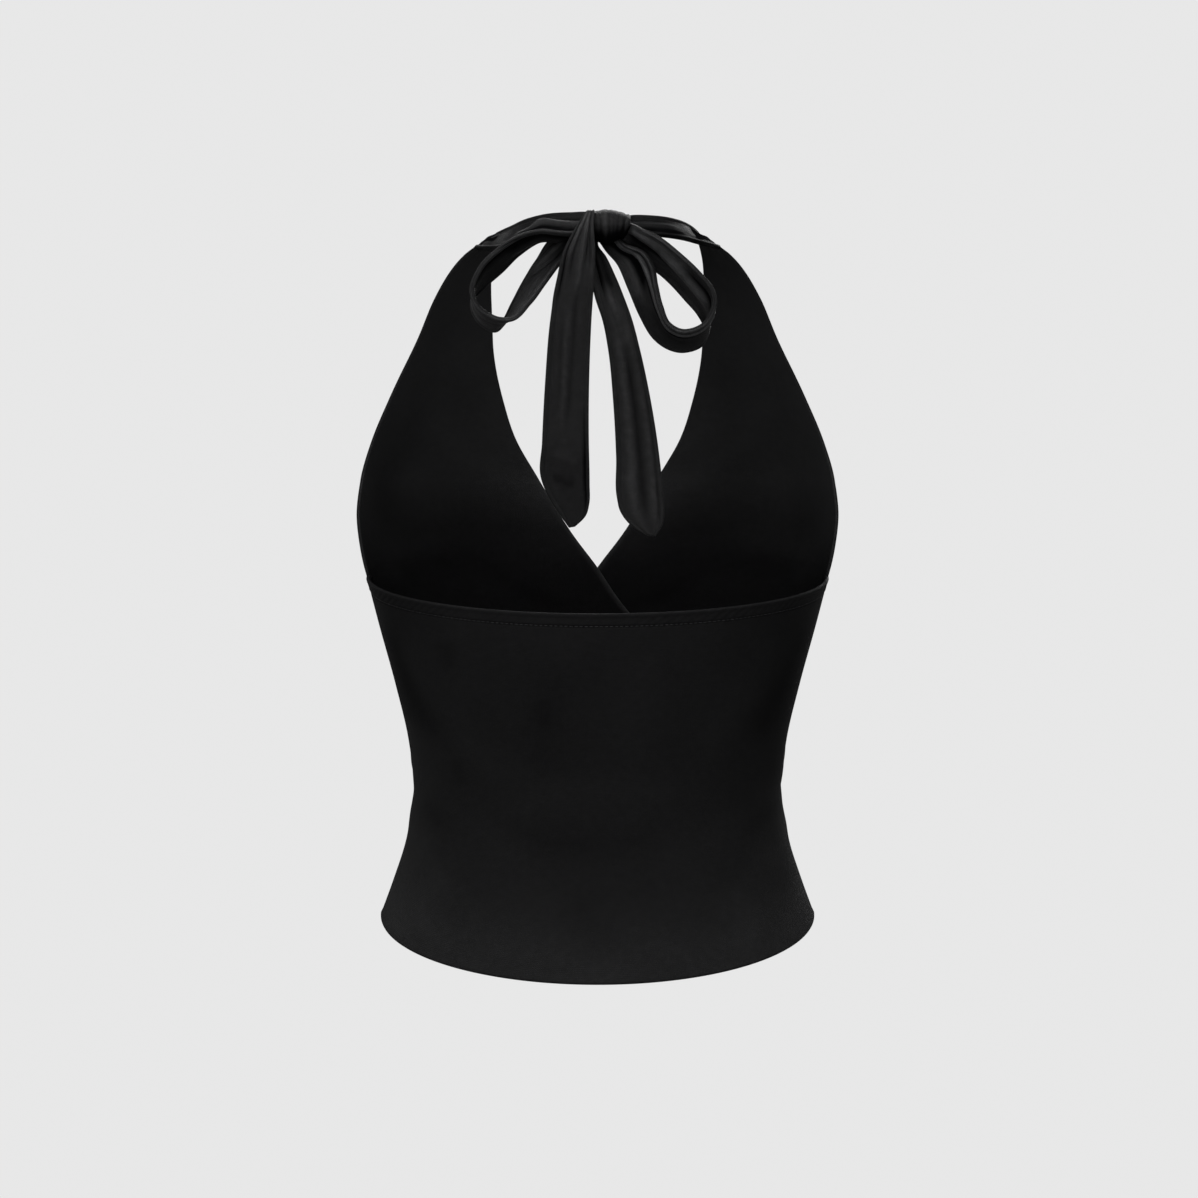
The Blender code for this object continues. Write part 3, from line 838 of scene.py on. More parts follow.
def back_panel():
    """Back from the turned top edge to the hem, between the side seams."""
    length = BACK["side_z"][0] - BACK["side_z"][-1]
    down, rim = rows_down(length, BACK_STEP, FOLD_EDGE, FOLD_EDGE, fine_reach=12.0)
    rows = read_table(BACK, -BACK["side_z"], down - BACK["side_z"][0])
    sheet, across, from_seam, edge = body_panel(rows, centre_line(rows, "back_y", "back_drop"),
                                                SIDE_SEAM_Y - SEAM_OVERLAP / 2, 0.0 * down,
                                                -np.pi / 2)
    along = np.broadcast_to(down[:, None], across.shape)
    relief = folds_on(across, along, BACK_FOLDS)
    sheet = sheet + outward(sheet) * relief[:, :, None]
    solid = rim[:, None] * edge[None, :]
    cover = np.minimum(solid, 1.0)
    turning = turned_edge(along, across)
    allowance = (seam_allowance(from_seam)
                 + seam_allowance(along, TURNED_HEM_REACH, TURNED_HEM_RISE))
    shade = shaded(BODY_FOLD_SHADING * relief + PUCKER_SHADING * turning, across, along, BACK_SHADES)
    return facing_out(sheet, solid * WALL / 2 + cover * turning,
                      solid * WALL / 2 + cover * allowance, across, along,
                      shade + TURNING_SHADE * on_turning(along), inside_shade(sheet))


def inside_shade(sheet):
    """Painted shade of the inner face, from that of flat cloth at the chest to much deeper below."""
    return RESTING_SHADE + INSIDE_SHADE * ease(sheet[:, :, 2], CHEST_LEVEL, UNDERBUST_LEVEL)


def facing_out(*grids):
    """The same grids, with their columns turned round if the sheet, the first, faces inwards."""
    if np.sum(normals(grids[0]) * outward(grids[0])) < 0.0:
        return tuple(grid[:, ::-1] for grid in grids)
    return grids


back_grids = back_panel()
back_cloth = add_shell("back_cloth", body_jersey, *back_grids)

# %% [markdown]
# ## The front below the bust
#
# The front waist panel mirrors the back: the same side seams, and a hem at the same level. Its
# top is sewn to the halter panels, so both its sides and its top are plain seams.

# %% Front waist panel
FRONT = table(
    "side_z   front_y  front_drop  full",
    (-238.9,  -170.0,  27.7,       6.0),
    (-285.0,  -165.0,  20.0,       2.0),
    (-320.0,  -160.0,  16.0,       0.0),
    (-352.0,  -158.0,  15.0,       0.0),
    (-385.0,  -162.0,  16.0,       0.0),
    (-410.0,  -168.0,  18.0,       0.0),
    (-432.5,  -175.0,  20.0,       0.0))
FRONT_FOLDS = fold_table(
    ( 172,  92,  104, 108,  4,  7,  0.8),
    ( 172, 106,   92, 122, -5,  8, -0.8),
    (-172,  88, -100, 106, -4,  7,  0.8),
    (-172, 104,  -84, 126,  6,  9, -0.8),
    ( -70,  96,   58, 104,  6, 10,  0.6),
    ( -52, 116,   76, 112, -5, 10, -0.5),
    (  70,   6,   34,  66,  5,  9,  0.7),
    ( -64,   4,  -30,  60, -5,  9,  0.7),
    (   8,   4,    2,  58,  3,  8, -0.6),
    (  96, 146,  112, 184,  4, 13,  0.7),
    ( -92, 148, -108, 186, -4, 14,  0.7))
FRONT_STEP = 2.3
# Painted light over the hem and painted shade down both sides.
FRONT_SHADES = fold_table(
    (-230, 206,  230, 206,  0, 22, -0.2),
    ( 120,  10,  116, 100,  6, 26,  0.1),
    (-116,  16, -120, 120, -6, 28,  0.1))


def front_waist():
    """Front from the seam under the bust to the hem, between the side seams."""
    length = FRONT["side_z"][0] - FRONT["side_z"][-1]
    down, rim = rows_down(length, FRONT_STEP, SEAM_EDGE, FOLD_EDGE)
    rows = read_table(FRONT, -FRONT["side_z"], down - FRONT["side_z"][0])
    back_seam = curve_through(-BACK["side_z"], BACK["side_x"][:, None], -rows["side_z"])
    rows["side_x"] = back_seam[:, 0]
    sheet, across, from_side, edge = body_panel(rows, centre_line(rows, "front_y", "front_drop"),
                                                SIDE_SEAM_Y + SEAM_OVERLAP / 2, rows["full"],
                                                np.pi / 2)
    along = np.broadcast_to(down[:, None], across.shape)
    relief = folds_on(across, along, FRONT_FOLDS)
    sheet = sheet + outward(sheet) * relief[:, :, None]
    solid = rim[:, None] * edge[None, :]
    allowance = seam_allowance(np.minimum(from_side, along))
    inner = solid * WALL / 2 + np.minimum(solid, 1.0) * allowance
    shade = shaded(BODY_FOLD_SHADING * relief, across, along, FRONT_SHADES)
    return facing_out(sheet, solid * WALL / 2, inner, across, along, shade, inside_shade(sheet))


front_waist_cloth = add_shell("front_waist_cloth", body_jersey, *front_waist())

# %% [markdown]
# ## The halter panels
#
# Each half of the front is cut on one piece: it leaves the seam under the bust, swells over the
# chest and narrows to the neck tie, and the neckline and armhole are folded edges. The left
# panel is worked out, and the right one is its mirror image, moved out by the cloth's thickness
# where it crosses over. At the top the cloth is gathered into the tie, so small folds fan down
# from there.

# %% Halter panels
HALTER = table(
    "edge_x  edge_y  edge_z   edge_turn  arm_x  arm_y   arm_z   arm_turn  full",
    (-30.0,  -170.0, -267.3,  0.0,       135.6, -74.65, -239.6, 90.0,     6.0),
    (-14.0,  -174.0, -248.0,  0.0,       141.0, -74.65, -218.2, 90.0,     12.0),
    (0.0,    -179.0, -227.3,  0.0,       146.0, -91.0,  -203.0, 86.0,     18.0),
    (18.0,   -184.0, -203.5,  4.0,       149.4, -112.0, -182.0, 80.0,     20.0),
    (37.0,   -184.0, -172.0,  10.0,      148.0, -126.0, -165.0, 72.0,     17.0),
    (52.0,   -175.0, -144.5,  16.0,      141.0, -132.0, -140.0, 60.0,     11.0),
    (60.0,   -162.0, -117.5,  22.0,      130.2, -128.0, -114.5, 50.0,     6.0),
    (65.5,   -132.0, -77.0,   26.0,      111.4, -108.0, -75.5,  36.0,     3.0),
    (65.5,   -104.0, -50.3,   26.0,      100.2, -88.0,  -49.8,  30.0,     2.0),
    (64.0,   -72.0,  -27.0,   24.0,      86.6,  -61.0,  -28.0,  26.0,     1.0),
    (59.0,   -46.0,  -7.0,    20.0,      73.5,  -40.0,  -15.4,  22.0,     0.5))
HALTER_COLUMNS = 76
HALTER_STEP = 2.0
OUTSIDE_SHADE = 0.30        # painted shade makes the outer face the blacker one, near the body's black
EDGE_LIGHT = 0.42           # painted highlight on the folded neckline low down, where it crosses over
GATHERS = table(            # folds at the tie: share of the width, length, width and height
    "share   reach  width  height",
    (0.10,   30.0,  1.5,   0.30),
    (0.24,   62.0,  1.7,   -0.45),
    (0.38,   44.0,  1.6,   0.42),
    (0.52,   86.0,  1.9,   -0.42),
    (0.66,   52.0,  1.6,   0.45),
    (0.80,   70.0,  1.7,   -0.42),
    (0.92,   34.0,  1.4,   0.25))
GATHER_SPREAD = 26.0        # a gather is twice as wide this far from the seam
SEAM_BLEND = 16.0           # the panel's cloth moves into line with the tie's over this length
CROSSING_GAP = 0.45         # air between the two panels where they cross
CROSSING_SHARES = 0.45, 0.90    # the upper panel comes down to the lower one's level between
CROSSING_HEIGHTS = 0.40, 0.75   # these shares of the width, and of the height
SEWN_GAP = 0.45             # share of the way out that is left at the seam under the bust
SEWN_REACH = 14.0
FLAT_GATHERS = 0.3          # share of a gather's height that is left at the tie's seam
FLAT_REACH = 10.0
INNER_FOLD_SHADING = 0.04           # the inner face's folds get little painted shade
EDGE_LIGHT_WIDTH = 2.6
EDGE_LIGHT_HEIGHTS = 0.10, 0.45 # it fades out between these shares of the height
CHEST_FOLDS = fold_table(
    (150,  28, 84,  46,  5,  9,  0.8),
    (156,  46, 70,  72, -6, 11, -0.8),
    ( 40,  14, 92,  70,  6, 10,  0.6),
    ( 22,  96, 58, 176,  6, 12, -0.7),
    ( 78, 104, 52, 190, -6, 11,  0.7))


def gathers_on(share, from_seam, width, reach_share=1.0):
    """Folds that fan out from the gathered seam, each at its own share of the width.

    Across: exp(-(distance / width) squared). Away from the seam they widen, and they fade over
    their reach.
    """
    height = np.zeros(share.shape)
    for place, reach, wide, rise in zip(*GATHERS.values()):
        spread = wide * (1.0 + from_seam / GATHER_SPREAD)
        off = (share - place) * width
        fading = 1.0 - ease(from_seam, 0.0, reach * reach_share)
        height += rise * np.exp(-(off / spread)**2) * fading
    return height


def halter_panel():
    """Left halter panel: its inner face, and what its shell is made from."""
    edge = points_of(HALTER, "edge_x", "edge_y", "edge_z")
    arm = points_of(HALTER, "arm_x", "arm_y", "arm_z")
    knots = (distances(edge) + distances(arm)) / 2
    along, rim = rows_down(knots[-1], HALTER_STEP, SEAM_EDGE, SEAM_EDGE)
    rows = read_table(HALTER, knots, along, limited=True)
    edge = points_of(rows, "edge_x", "edge_y", "edge_z")
    wrap = np.maximum(-edge[:, 0], 0.0)
    edge[:, 0] = np.maximum(edge[:, 0], 0.0)
    arm = points_of(rows, "arm_x", "arm_y", "arm_z")
    shape = (edge, arm, np.radians(rows["edge_turn"]), np.radians(rows["arm_turn"]), rows["full"])
    fine = np.linspace(0.0, 1.0, 101)
    width = section(*shape, np.tile(fine, (len(edge), 1)))[:, :, 0]
    start = np.array([-np.interp(reach, x, fine) for reach, x in zip(wrap, width)])
    points, share, run, side_edge = lay_sections(shape, start, HALTER_COLUMNS, FOLD_EDGE, FOLD_EDGE)
    height = (along / knots[-1])[:, None]
    return points, share, run, height, along[:, None] + 0.0 * run, rim[:, None] * side_edge


def halter_shell(right):
    """One halter panel; the right one is mirrored and moved out where it lies on the left one."""
    points, share, run, height, along, solid = halter_panel()
    if right:
        over = (1.0 - ease(share, *CROSSING_SHARES)) * (1.0 - ease(height, *CROSSING_HEIGHTS))
        over = over * (SEWN_GAP + (1.0 - SEWN_GAP) * ease(along, 0.0, SEWN_REACH))
        level = unit(outward(points) * np.array((1.0, 1.0, 0.0)))
        points = points + level * (over * (WALL + CROSSING_GAP))[:, :, None]
    from_top = along[-1, 0] - along
    sheet = middle_of_wall(points, WALL / 2 * ease(from_top, 0.0, SEAM_BLEND)[:, :, None])
    across_share = run / run[:, -1:]
    rising = FLAT_GATHERS + (1.0 - FLAT_GATHERS) * ease(from_top, 0.0, FLAT_REACH)
    relief = (folds_on(run, along, CHEST_FOLDS)
              + gathers_on(across_share, from_top, run[:, -1:]) * rising)
    sheet = sheet + outward(sheet) * relief[:, :, None]
    inner = solid * WALL / 2 + np.minimum(solid, 1.0) * seam_allowance(along)
    fold_light = EDGE_LIGHT * np.exp(-(run / EDGE_LIGHT_WIDTH)**2)
    fold_light = fold_light * (1.0 - ease(height, *EDGE_LIGHT_HEIGHTS))
    if right:
        sheet = sheet * np.array((-1.0, 1.0, 1.0))
    return facing_out(sheet, solid * WALL / 2, inner, run, along, painted_fold_shading(relief) + OUTSIDE_SHADE,
                      inside_shade(sheet) + INNER_FOLD_SHADING * relief - fold_light)


left_halter_cloth = add_shell("left_halter_cloth", halter_jersey, *halter_shell(False))
right_halter_cloth = add_shell("right_halter_cloth", halter_jersey, *halter_shell(True))

# %% [markdown]
# ## Ties, loops and tails
#
# A neck tie is a tube sewn from a strip, turned right side out and pressed flat, so it is two
# layers thick and has a folded rim on both sides. Each stretch of it is a band between a near and
# a far edge. The band keeps the same cloth width of 28 mm even where the knot squeezes it, so
# its folds are placed on that flat width, and they crowd together where it is squeezed.

# %% Bands
TIE_WIDTH = 28.0            # flat width of the pressed tube
TIE_WALL = 2.0
BAND_COLUMNS = 32
BAND_STEP = 1.0
SEAM_SHADE = 0.06           # painted shade at a gathered seam, over its last few millimetres
SEAM_SHADE_REACH = 7.0
BAND_GATHERS = 0.45         # gathers reach this share as far into a band as into a panel
NO_SHADES = fold_table()


def band_table(*rows):
    """Table of a band's sections: a point on its near edge and one on its far edge."""
    return table("near_x near_y near_z far_x far_y far_z", *rows)


def band_shell(sections, folds, front_shades=NO_SHADES, back_shades=NO_SHADES, gathered=0.0):
    """Band between its near and far edges, with its folds and its two-lipped rims.

    A point is near + (far - near) x share, moved along the normal by the height of the folds.
    gathered is the size of the gathers at the band's last row, and its sign says which side they
    rise to.
    """
    near = points_of(sections, "near_x", "near_y", "near_z")
    far = points_of(sections, "far_x", "far_y", "far_z")
    knots = distances((near + far) / 2)
    along, rim = rows_down(knots[-1], BAND_STEP, SEAM_EDGE, SEAM_EDGE)
    rows = read_table(sections, knots, along)
    near = points_of(rows, "near_x", "near_y", "near_z")
    far = points_of(rows, "far_x", "far_y", "far_z")
    width = np.linalg.norm(far - near, axis=1)
    run, edge = spaced(width, BAND_COLUMNS, TUBE_EDGE, TUBE_EDGE)
    share = (run / width[:, None])[:, :, None]
    sheet = near[:, None] + (far - near)[:, None] * share
    across = share[:, :, 0] * TIE_WIDTH
    along = along[:, None] + 0.0 * across
    relief = folds_on(across, along, folds)
    from_seam = knots[-1] - along
    relief += gathered * gathers_on(share[:, :, 0], from_seam, width[:, None], BAND_GATHERS)
    sheet = sheet + normals(sheet) * relief[:, :, None]
    solid = rim[:, None] * edge[None, :] * TIE_WALL / 2
    at_seam = SEAM_SHADE * ease(along, knots[-1] - SEAM_SHADE_REACH, knots[-1] - 1.0)
    at_seam = at_seam * (gathered != 0.0)
    front = shaded(relief, across, along, front_shades) + at_seam
    back = shaded(-relief, across, along, back_shades) + at_seam
    return (sheet, solid, solid, across, along, np.minimum(front, DEEPEST_SHADE),
            np.minimum(back, DEEPEST_SHADE))


def add_band(name, *tables, **more):
    """Piece of tie jersey with the shape that band_shell makes of the tables."""
    return add_shell(name, tie_jersey, *band_shell(*tables, **more))


# %% [markdown]
# The two neck ties run from the knot round the sides of the neck. Their folds lie lengthwise at
# the knot, which squeezes them, and across at the far end, where the halter panel is gathered in.

# %% Neck ties
LEFT_TIE = band_table(
    (  -2,     8,  3.4,   -2,    14,  -2.4),
    ( 3.7,     1,  6.6,  3.7,    13,    -6),
    (  16,    -1,  6.8,   14,    13,  -6.8),
    (  28,    -5,    6,   24,    12,    -8),
    (  40,   -13,    3,   38,     7,   -10),
    (  51,   -27, -2.4,   55,    -6, -13.6),
    (  57,   -38, -5.6, 67.5,   -24, -15.2),
    (59.1, -46.4, -7.1, 73.6, -40.4, -15.5))
RIGHT_TIE = band_table(
    (  -14,     8,  4.6,   -14,    13,   0.6),
    (-19.6,     1,  5.2, -19.6,    13,  -5.6),
    (  -28,    -2,    5,   -28,    12,  -5.6),
    (  -38,    -8,    4,   -37,   8.5,    -6),
    (  -48,   -19,  1.4,   -50,     0,    -8),
    (-54.5,   -30,   -2, -61.5,   -13, -11.4),
    (  -58,   -39, -5.2, -69.5,   -26, -13.8),
    (-59.1, -46.4, -7.1, -73.6, -40.4, -15.5))
LEFT_TIE_FOLDS = fold_table(
    ( 8, -6,  9, 34,  1, 2.4,  0.9),
    (14, -6, 15, 44, -1, 2.2, -0.8),
    (20, -6, 19, 30,  1, 2.4,  0.9),
    ( 6, 58, 22, 66,  2,   3,  0.5))
RIGHT_TIE_FOLDS = fold_table(
    ( 7, -6,  8, 30,  1, 2.4, -0.4),
    (13, -6, 14, 40, -1, 2.4,  0.5),
    (21, -6, 20, 28,  1, 2.2, -0.5),
    ( 8, 46, 21, 54,  2,   4,  0.2))

# Painted shade along the ties, deeper towards the halter seams, and in a strip near the right tie's
# far edge by the knot.
LEFT_TIE_SHADES = fold_table(
    (14,  8, 14,  58, 0, 26, 0.2),
    (14, 68, 14, 120, 0, 26, 0.4))
RIGHT_TIE_SHADES = fold_table(
    (19,  -8, 23,  50, 1,  5, 0.28),
    (14, -20, 14,  50, 0, 26,  0.2),
    (14,  26, 14,  60, 0, 26, 0.06),
    (14,  46, 14, 104, 0, 26, 0.42))

left_tie_cloth = add_band("left_neck_tie_cloth", LEFT_TIE, LEFT_TIE_FOLDS, LEFT_TIE_SHADES,
                          LEFT_TIE_SHADES, gathered=-0.2)
right_tie_cloth = add_band("right_neck_tie_cloth", RIGHT_TIE, RIGHT_TIE_FOLDS, RIGHT_TIE_SHADES,
                           RIGHT_TIE_SHADES, gathered=0.12)

# %% [markdown]
# Each loop leaves the knot's mouth, goes out and round, and comes back under it. Cloth that turns
# a corner on its flat buckles, so both loops have long folds where they leave the knot and small
# ones inside the bend.

# %% Bow loops
LEFT_LOOP = band_table(
    (-1.6,   23,   1.4, -1.6, 15.5,   1.8),
    ( 3.9, 25.5,     1,  3.9,   15,   1.2),
    (  13,   30,    -4,   14,   14,  -8.6),
    (  22, 36.5,  -3.6,   24, 15.5,  -9.4),
    (  33,   42,  -2.4,   33,   18,  -8.4),
    (45.5,   45,  -5.1,   46,   21, -16.2),
    (57.2,   47,   -12,   56,   23,   -26),
    (67.6, 48.5, -22.4, 66.2, 24.5,   -35),
    (72.6, 49.5, -35.6, 72.9, 25.5, -43.5),
    (70.6, 49.5, -42.4, 72.4, 25.5, -49.5),
    (67.6,   49, -46.6, 69.2, 25.5, -55.4),
    (63.2,   48, -49.6, 64.6,   25, -59.2),
    (57.4,   47, -52.2, 59.6, 24.5, -60.6),
    (50.6,   45, -52.6, 56.2, 23.5, -57.4),
    (  39,   42,   -43, 49.6,   22,   -45),
    (30.5,   37,   -32, 43.4,   20,   -33),
    (21.5,   32, -20.5, 35.4,   18,   -20),
    (14.5,   29, -13.5, 27.4, 16.5,  -8.4),
    ( 3.9, 24.5,  -6.4,    8,   15,  -6.2),
    (-1.6, 21.5,  -2.6, -1.6,   15,  -2.8))
RIGHT_LOOP = band_table(
    (  -15,   22,     2, -11.5,   15,  -7.5),
    (-20.6,   25,   1.2, -15.8,   15, -12.4),
    (-26.5,   32,  -1.4, -21.8, 15.5, -17.4),
    (-36.2,   39,  -6.2,   -33, 17.5,   -25),
    (-47.7,   44, -15.2,   -42, 20.5, -32.4),
    (  -59, 46.5, -25.8, -51.5, 22.5, -42.6),
    (-66.6, 47.5, -35.5, -59.5,   24,   -52),
    (  -68,   48, -41.6, -62.6,   25,   -58),
    (  -66,   48, -48.8, -63.2, 25.5,   -64),
    (-61.7, 47.5, -55.2, -60.4,   25, -69.2),
    (  -55, 46.5, -58.6, -55.5, 24.5, -71.8),
    (-48.2,   46,   -59,   -49,   24, -72.8),
    (-41.2,   44,   -55,   -42,   23, -71.2),
    (-36.8,   42, -44.5, -33.5, 21.5, -65.4),
    (-34.2,   39,   -33, -25.5, 19.5, -52.5),
    (  -32,   36,   -22, -18.5, 17.5, -36.5),
    (  -26, 32.5,   -14,   -12, 16.5,   -22),
    (  -16, 27.5,   -10,  -5.2, 17.5,   -14),
    (  -11,   22,    -5,  -0.8, 16.5,    -8))
LEFT_LOOP_FOLDS = fold_table(
    ( 9.5,   3,    9,  60,   0,   5,  4.4),
    (11.5,   9, 10.5,  44,   0,   5,  4.8),
    ( 5.2, -10,  4.8,  58,   0,   1, -0.9),
    (   8,  46,    7,  96,   0, 2.6,  0.9),
    (  18,  -8,   19,  60,   1,   3, -1.2),
    (  24,  -8,   24,  44, 0.5, 2.2,  0.9),
    (  14,  92,   12, 124,   1, 2.8, -0.8),
    (   7, 174, 20.5, 156,   1, 1.6,  2.2),
    (  13, 184,   25, 160,   1, 2.4, -1.3),
    (   8, 170,   10, 132,   1,   3,  0.7),
    (  20, 150,   18, 118,  -1,   3, -0.6),
    (   8, 212,   10, 176,   1, 2.4,   -1))
RIGHT_LOOP_FOLDS = fold_table(
    (   3, -10,    8,  32, 0.5, 2.8,  2.2),
    (   8,  26, 12.5,  72,   0, 3.2,    3),
    (10.5,   6,   15,  40,   0, 2.6, -2.4),
    (  23,  28,   22,  88, 0.5,   4, -1.2),
    ( 7.5,  46,    8,  86,   0, 2.2, -1.1),
    (  18,  -8,   24,  30, 0.5, 2.4,  1.4),
    (  14, 128,   16,  92,   1,   4,  0.6),
    (   6, 190,  4.8, 136, 0.5, 1.7,   -2),
    (10.5, 186,  8.5, 144, 0.5,   2,  2.6),
    (  20, 186,   18, 130,   1, 3.4, -1.3),
    ( 3.2, 176,  3.2,  60,   0, 0.8,  0.8),
    ( 5.2, 176,  5.2,  60,   0,   1, -0.7))
# Painted shade in the grooves beside the rims, in the troughs, inside the loops and under the knot,
# and painted light along the rims, on the ridges and over the lower arms.
LEFT_LOOP_FRONT_SHADES = fold_table(
    (5.4, -10, 4.4, 104, 0, 1.2,  0.75),
    (6.6, -20, 6.6,  60, 0, 2.2,   0.3),
    (1.2, -10, 1.2, 112, 0,   1, -0.25),
    ( 16, -10,  16,  50, 0,   6,  0.25),
    ( 14,  86,  14, 142, 0,  14,  -0.4))
LEFT_LOOP_BACK_SHADES = fold_table(
    ( 17, -30,  16, 118, 0,  10,   0.2),
    (4.5, -10, 4.5, 112, 0, 2.4,  0.35),
    ( 14, 214,  15, 176, 0,  12,   0.5),
    (6.5, 177,  22, 155, 1, 1.3,  0.45),
    ( 14, 174,  14, 112, 0,  18, -0.75),
    (1.2, -10, 1.2, 112, 0,   1, -0.25))
RIGHT_LOOP_FRONT_SHADES = fold_table(
    (11.5,  6, 13.5,  40, 0, 3.4,   0.7),
    (  23,  8,   23, 100, 0,   8, -0.35),
    ( 2.5, 10,  3.5,  52, 0, 2.6,  -0.3),
    ( 7.5, 46,    8,  86, 0, 2.4,  0.35),
    ( 9.5, 30,   13,  70, 0,   3,  -0.3))
RIGHT_LOOP_BACK_SHADES = fold_table(
    ( 3.2, 200, 3.2,  60,   0, 0.9,   0.7),
    ( 0.8, 196, 0.8,  60,   0, 1.2,  -0.2),
    ( 5.2, 200, 5.2,  60,   0,   1, -0.65),
    (   8, 186, 7.6,  84,   0, 1.2,   0.5),
    (13.5, 172,  13, 138, 0.5, 3.4,  0.65),
    (  21, 164,  20, 138,   0,   6,  -0.6),
    (  14, 200,  15, 168,   0,  12,  0.65))

left_loop_cloth = add_band("left_loop_cloth", LEFT_LOOP, LEFT_LOOP_FOLDS,
                           LEFT_LOOP_FRONT_SHADES, LEFT_LOOP_BACK_SHADES)
right_loop_cloth = add_band("right_loop_cloth", RIGHT_LOOP, RIGHT_LOOP_FOLDS,
                            RIGHT_LOOP_FRONT_SHADES, RIGHT_LOOP_BACK_SHADES)

# %% [markdown]
# The tails hang free. The left one comes out over the top of the knot and is pinched to a point
# there, and the right one comes out from under it. Both keep faint lengthwise ridges from
# having been tied, and both ends are cut on a slant and turned.

# %% Hanging tails
LEFT_TAIL = band_table(
    ( 2.4, 15.5,    2.6,  0.4, 15.5,    2.8),
    ( 5.2, 20.5,    6.2,  2.4, 20.8,    6.8),
    (   6, 24.5,    7.8,  2.6, 24.8,    8.2),
    (  12,   34,    0.5,  2.4, 35.5,      0),
    (19.5, 38.5,  -12.8,  1.4, 39.5,  -12.5),
    (23.6,   41,    -30,  1.8, 41.5,    -28),
    (27.4, 41.5,    -53,  3.4,   41,    -52),
    (30.4, 40.5,    -88,  4.8,   40,    -88),
    (32.4, 39.5,   -125,    5, 39.5,   -125),
    (  33, 39.5,   -146,  4.6, 39.5,   -149),
    (  28, 39.8,   -158,  4.8, 39.5,   -161),
    (20.5,   40, -169.5,    8, 39.8, -169.5),
    (16.6,   40,   -175, 13.2,   40, -174.4))
RIGHT_TAIL = band_table(
    (    2,   15,     -3,  -1.5, 13.5,   -3.5),
    (    3, 19.5,   -8.7,   0.6, 17.5,  -11.3),
    (    5, 24.5,    -17,    -5,   21,  -18.5),
    (    4,   28,    -28, -10.4,   23,  -29.5),
    (  1.1, 30.5,    -41,   -15,   25,  -40.5),
    ( -3.1, 31.5,    -54,   -20,   27,    -54),
    ( -6.4,   32,  -71.5, -24.8, 28.5,    -72),
    ( -9.2,   33, -100.5,   -31,   30,   -101),
    (  -11, 33.5,   -135, -36.2, 31.5,   -134),
    (-11.4,   34,   -158, -38.6, 32.5,   -157),
    (-13.8,   34,   -167, -39.2,   33, -166.5),
    (-20.5,   34,   -175,   -38, 33.5, -174.5),
    (-29.5,   34, -180.6,   -34, 33.8, -180.8))
LEFT_TAIL_FOLDS = fold_table(
    (   8,   4,    5,  46,   1,   2,  -0.9),
    (  12,   4,   10,  58,  -1, 1.8,   0.8),
    (16.5,   4, 15.5,  66,   1,   2,  -0.9),
    (20.5,   4,   20,  50, 0.5, 1.6,   0.8),
    (24.5,  -2, 24.5,  60,   0, 1.8,  -0.9),
    (   4,  22,  2.6,  70, 0.5, 1.8,   0.6),
    (16.5,  58,   15, 142,   1, 1.8,  0.45),
    (  13,  66,   12, 150,  -1,   2, -0.45),
    (   9,  80,  9.5, 136, 0.5, 1.6,  0.35),
    (  26, 146,   26, 194,   0, 0.8,   0.7),
    (   8, 158,   22, 164,   1, 3.2,  -0.4),
    (   6, 172,   20, 176,  -1, 3.2,   0.4))
RIGHT_TAIL_FOLDS = fold_table(
    (   8, -2,    9,  44,    1, 2.2,  1.1),
    (  15, -2,   15,  56,   -1, 2.4, -0.9),
    (  21, -2,   20,  40,    1, 2.2,  0.9),
    (   9, 50,  9.5, 186,  0.5, 3.2, -0.8),
    (15.5, 74, 16.5, 176, -0.5, 2.6,  0.9),
    (  22, 56,   22, 184,  0.5, 2.6, -0.6))

# Painted shade in lines beside the rolled edges, at the top of the right tail under the knot and over
# the left tail's end, and a band of painted light on the right tail.
LEFT_TAIL_SHADES = fold_table(
    (23.6,  -4, 24.4,  52, 0, 0.9,  0.5),
    ( 4.4,  14,  3.4,  62, 0, 0.9, 0.35),
    (25.2, 128,   25, 196, 0, 0.8,  0.3),
    (  14, 150,   14, 214, 0,  24, 0.14))
RIGHT_TAIL_SHADES = fold_table(
    (  13,  2,   14,  38, 0,   5,  0.5),
    (  18, 36,   18,  74, 0,   8, -0.2),
    (24.6, 40, 24.6, 186, 0, 0.8, 0.25))

left_tail_cloth = add_band("left_tail_cloth", LEFT_TAIL, LEFT_TAIL_FOLDS,
                           back_shades=LEFT_TAIL_SHADES)
right_tail_cloth = add_band("right_tail_cloth", RIGHT_TAIL, RIGHT_TAIL_FOLDS,
                            back_shades=RIGHT_TAIL_SHADES)

# %% [markdown]
# ## The knot
#
# The knot is one tie wrapped round the other, so it is a short fat band with folds that run round
# it and close up underneath. It is a row of oval rings from inside its left mouth, out round
# its lip, across, and back into its right mouth. A mouth that goes in hides where the ties,
# loops and tails end. Creases between wraps are narrow at the bottom and round on top, so each
# one falls off as exp(-distance / width), with its very corner rounded off.

# %% Knot
KNOT = table(
    "x       mid_y  mid_z  half_y  half_z",
    (-1.2,   15.3,  0.4,   7.0,    2.6),
    (0.0,    15.3,  0.4,   8.6,    3.8),
    (2.3,    15.4,  0.5,   9.6,    4.7),
    (3.2,    15.5,  0.6,   10.6,   5.5),
    (3.2,    15.5,  0.6,   11.7,   6.4),
    (2.2,    15.3,  0.4,   13.2,   7.8),
    (-2.0,   15.1,  -0.4,  14.4,   9.7),
    (-7.5,   15.0,  -1.2,  15.0,   10.8),
    (-12.0,  15.0,   -0.6,   14.8,   9.4),
    (-16.0,  15.2,   0.6,    14.0,   7.0),
    (-18.6,  15.4,   1.8,    12.4,   4.7),
    (-19.3,  15.5,   2.2,    11.2,   3.7),
    (-19.0,  15.5,   2.2,    10.4,   3.0),
    (-17.6,  15.5,   2.1,    9.4,    2.5),
    (-15.6,  15.5,   2.0,    7.0,    1.8))
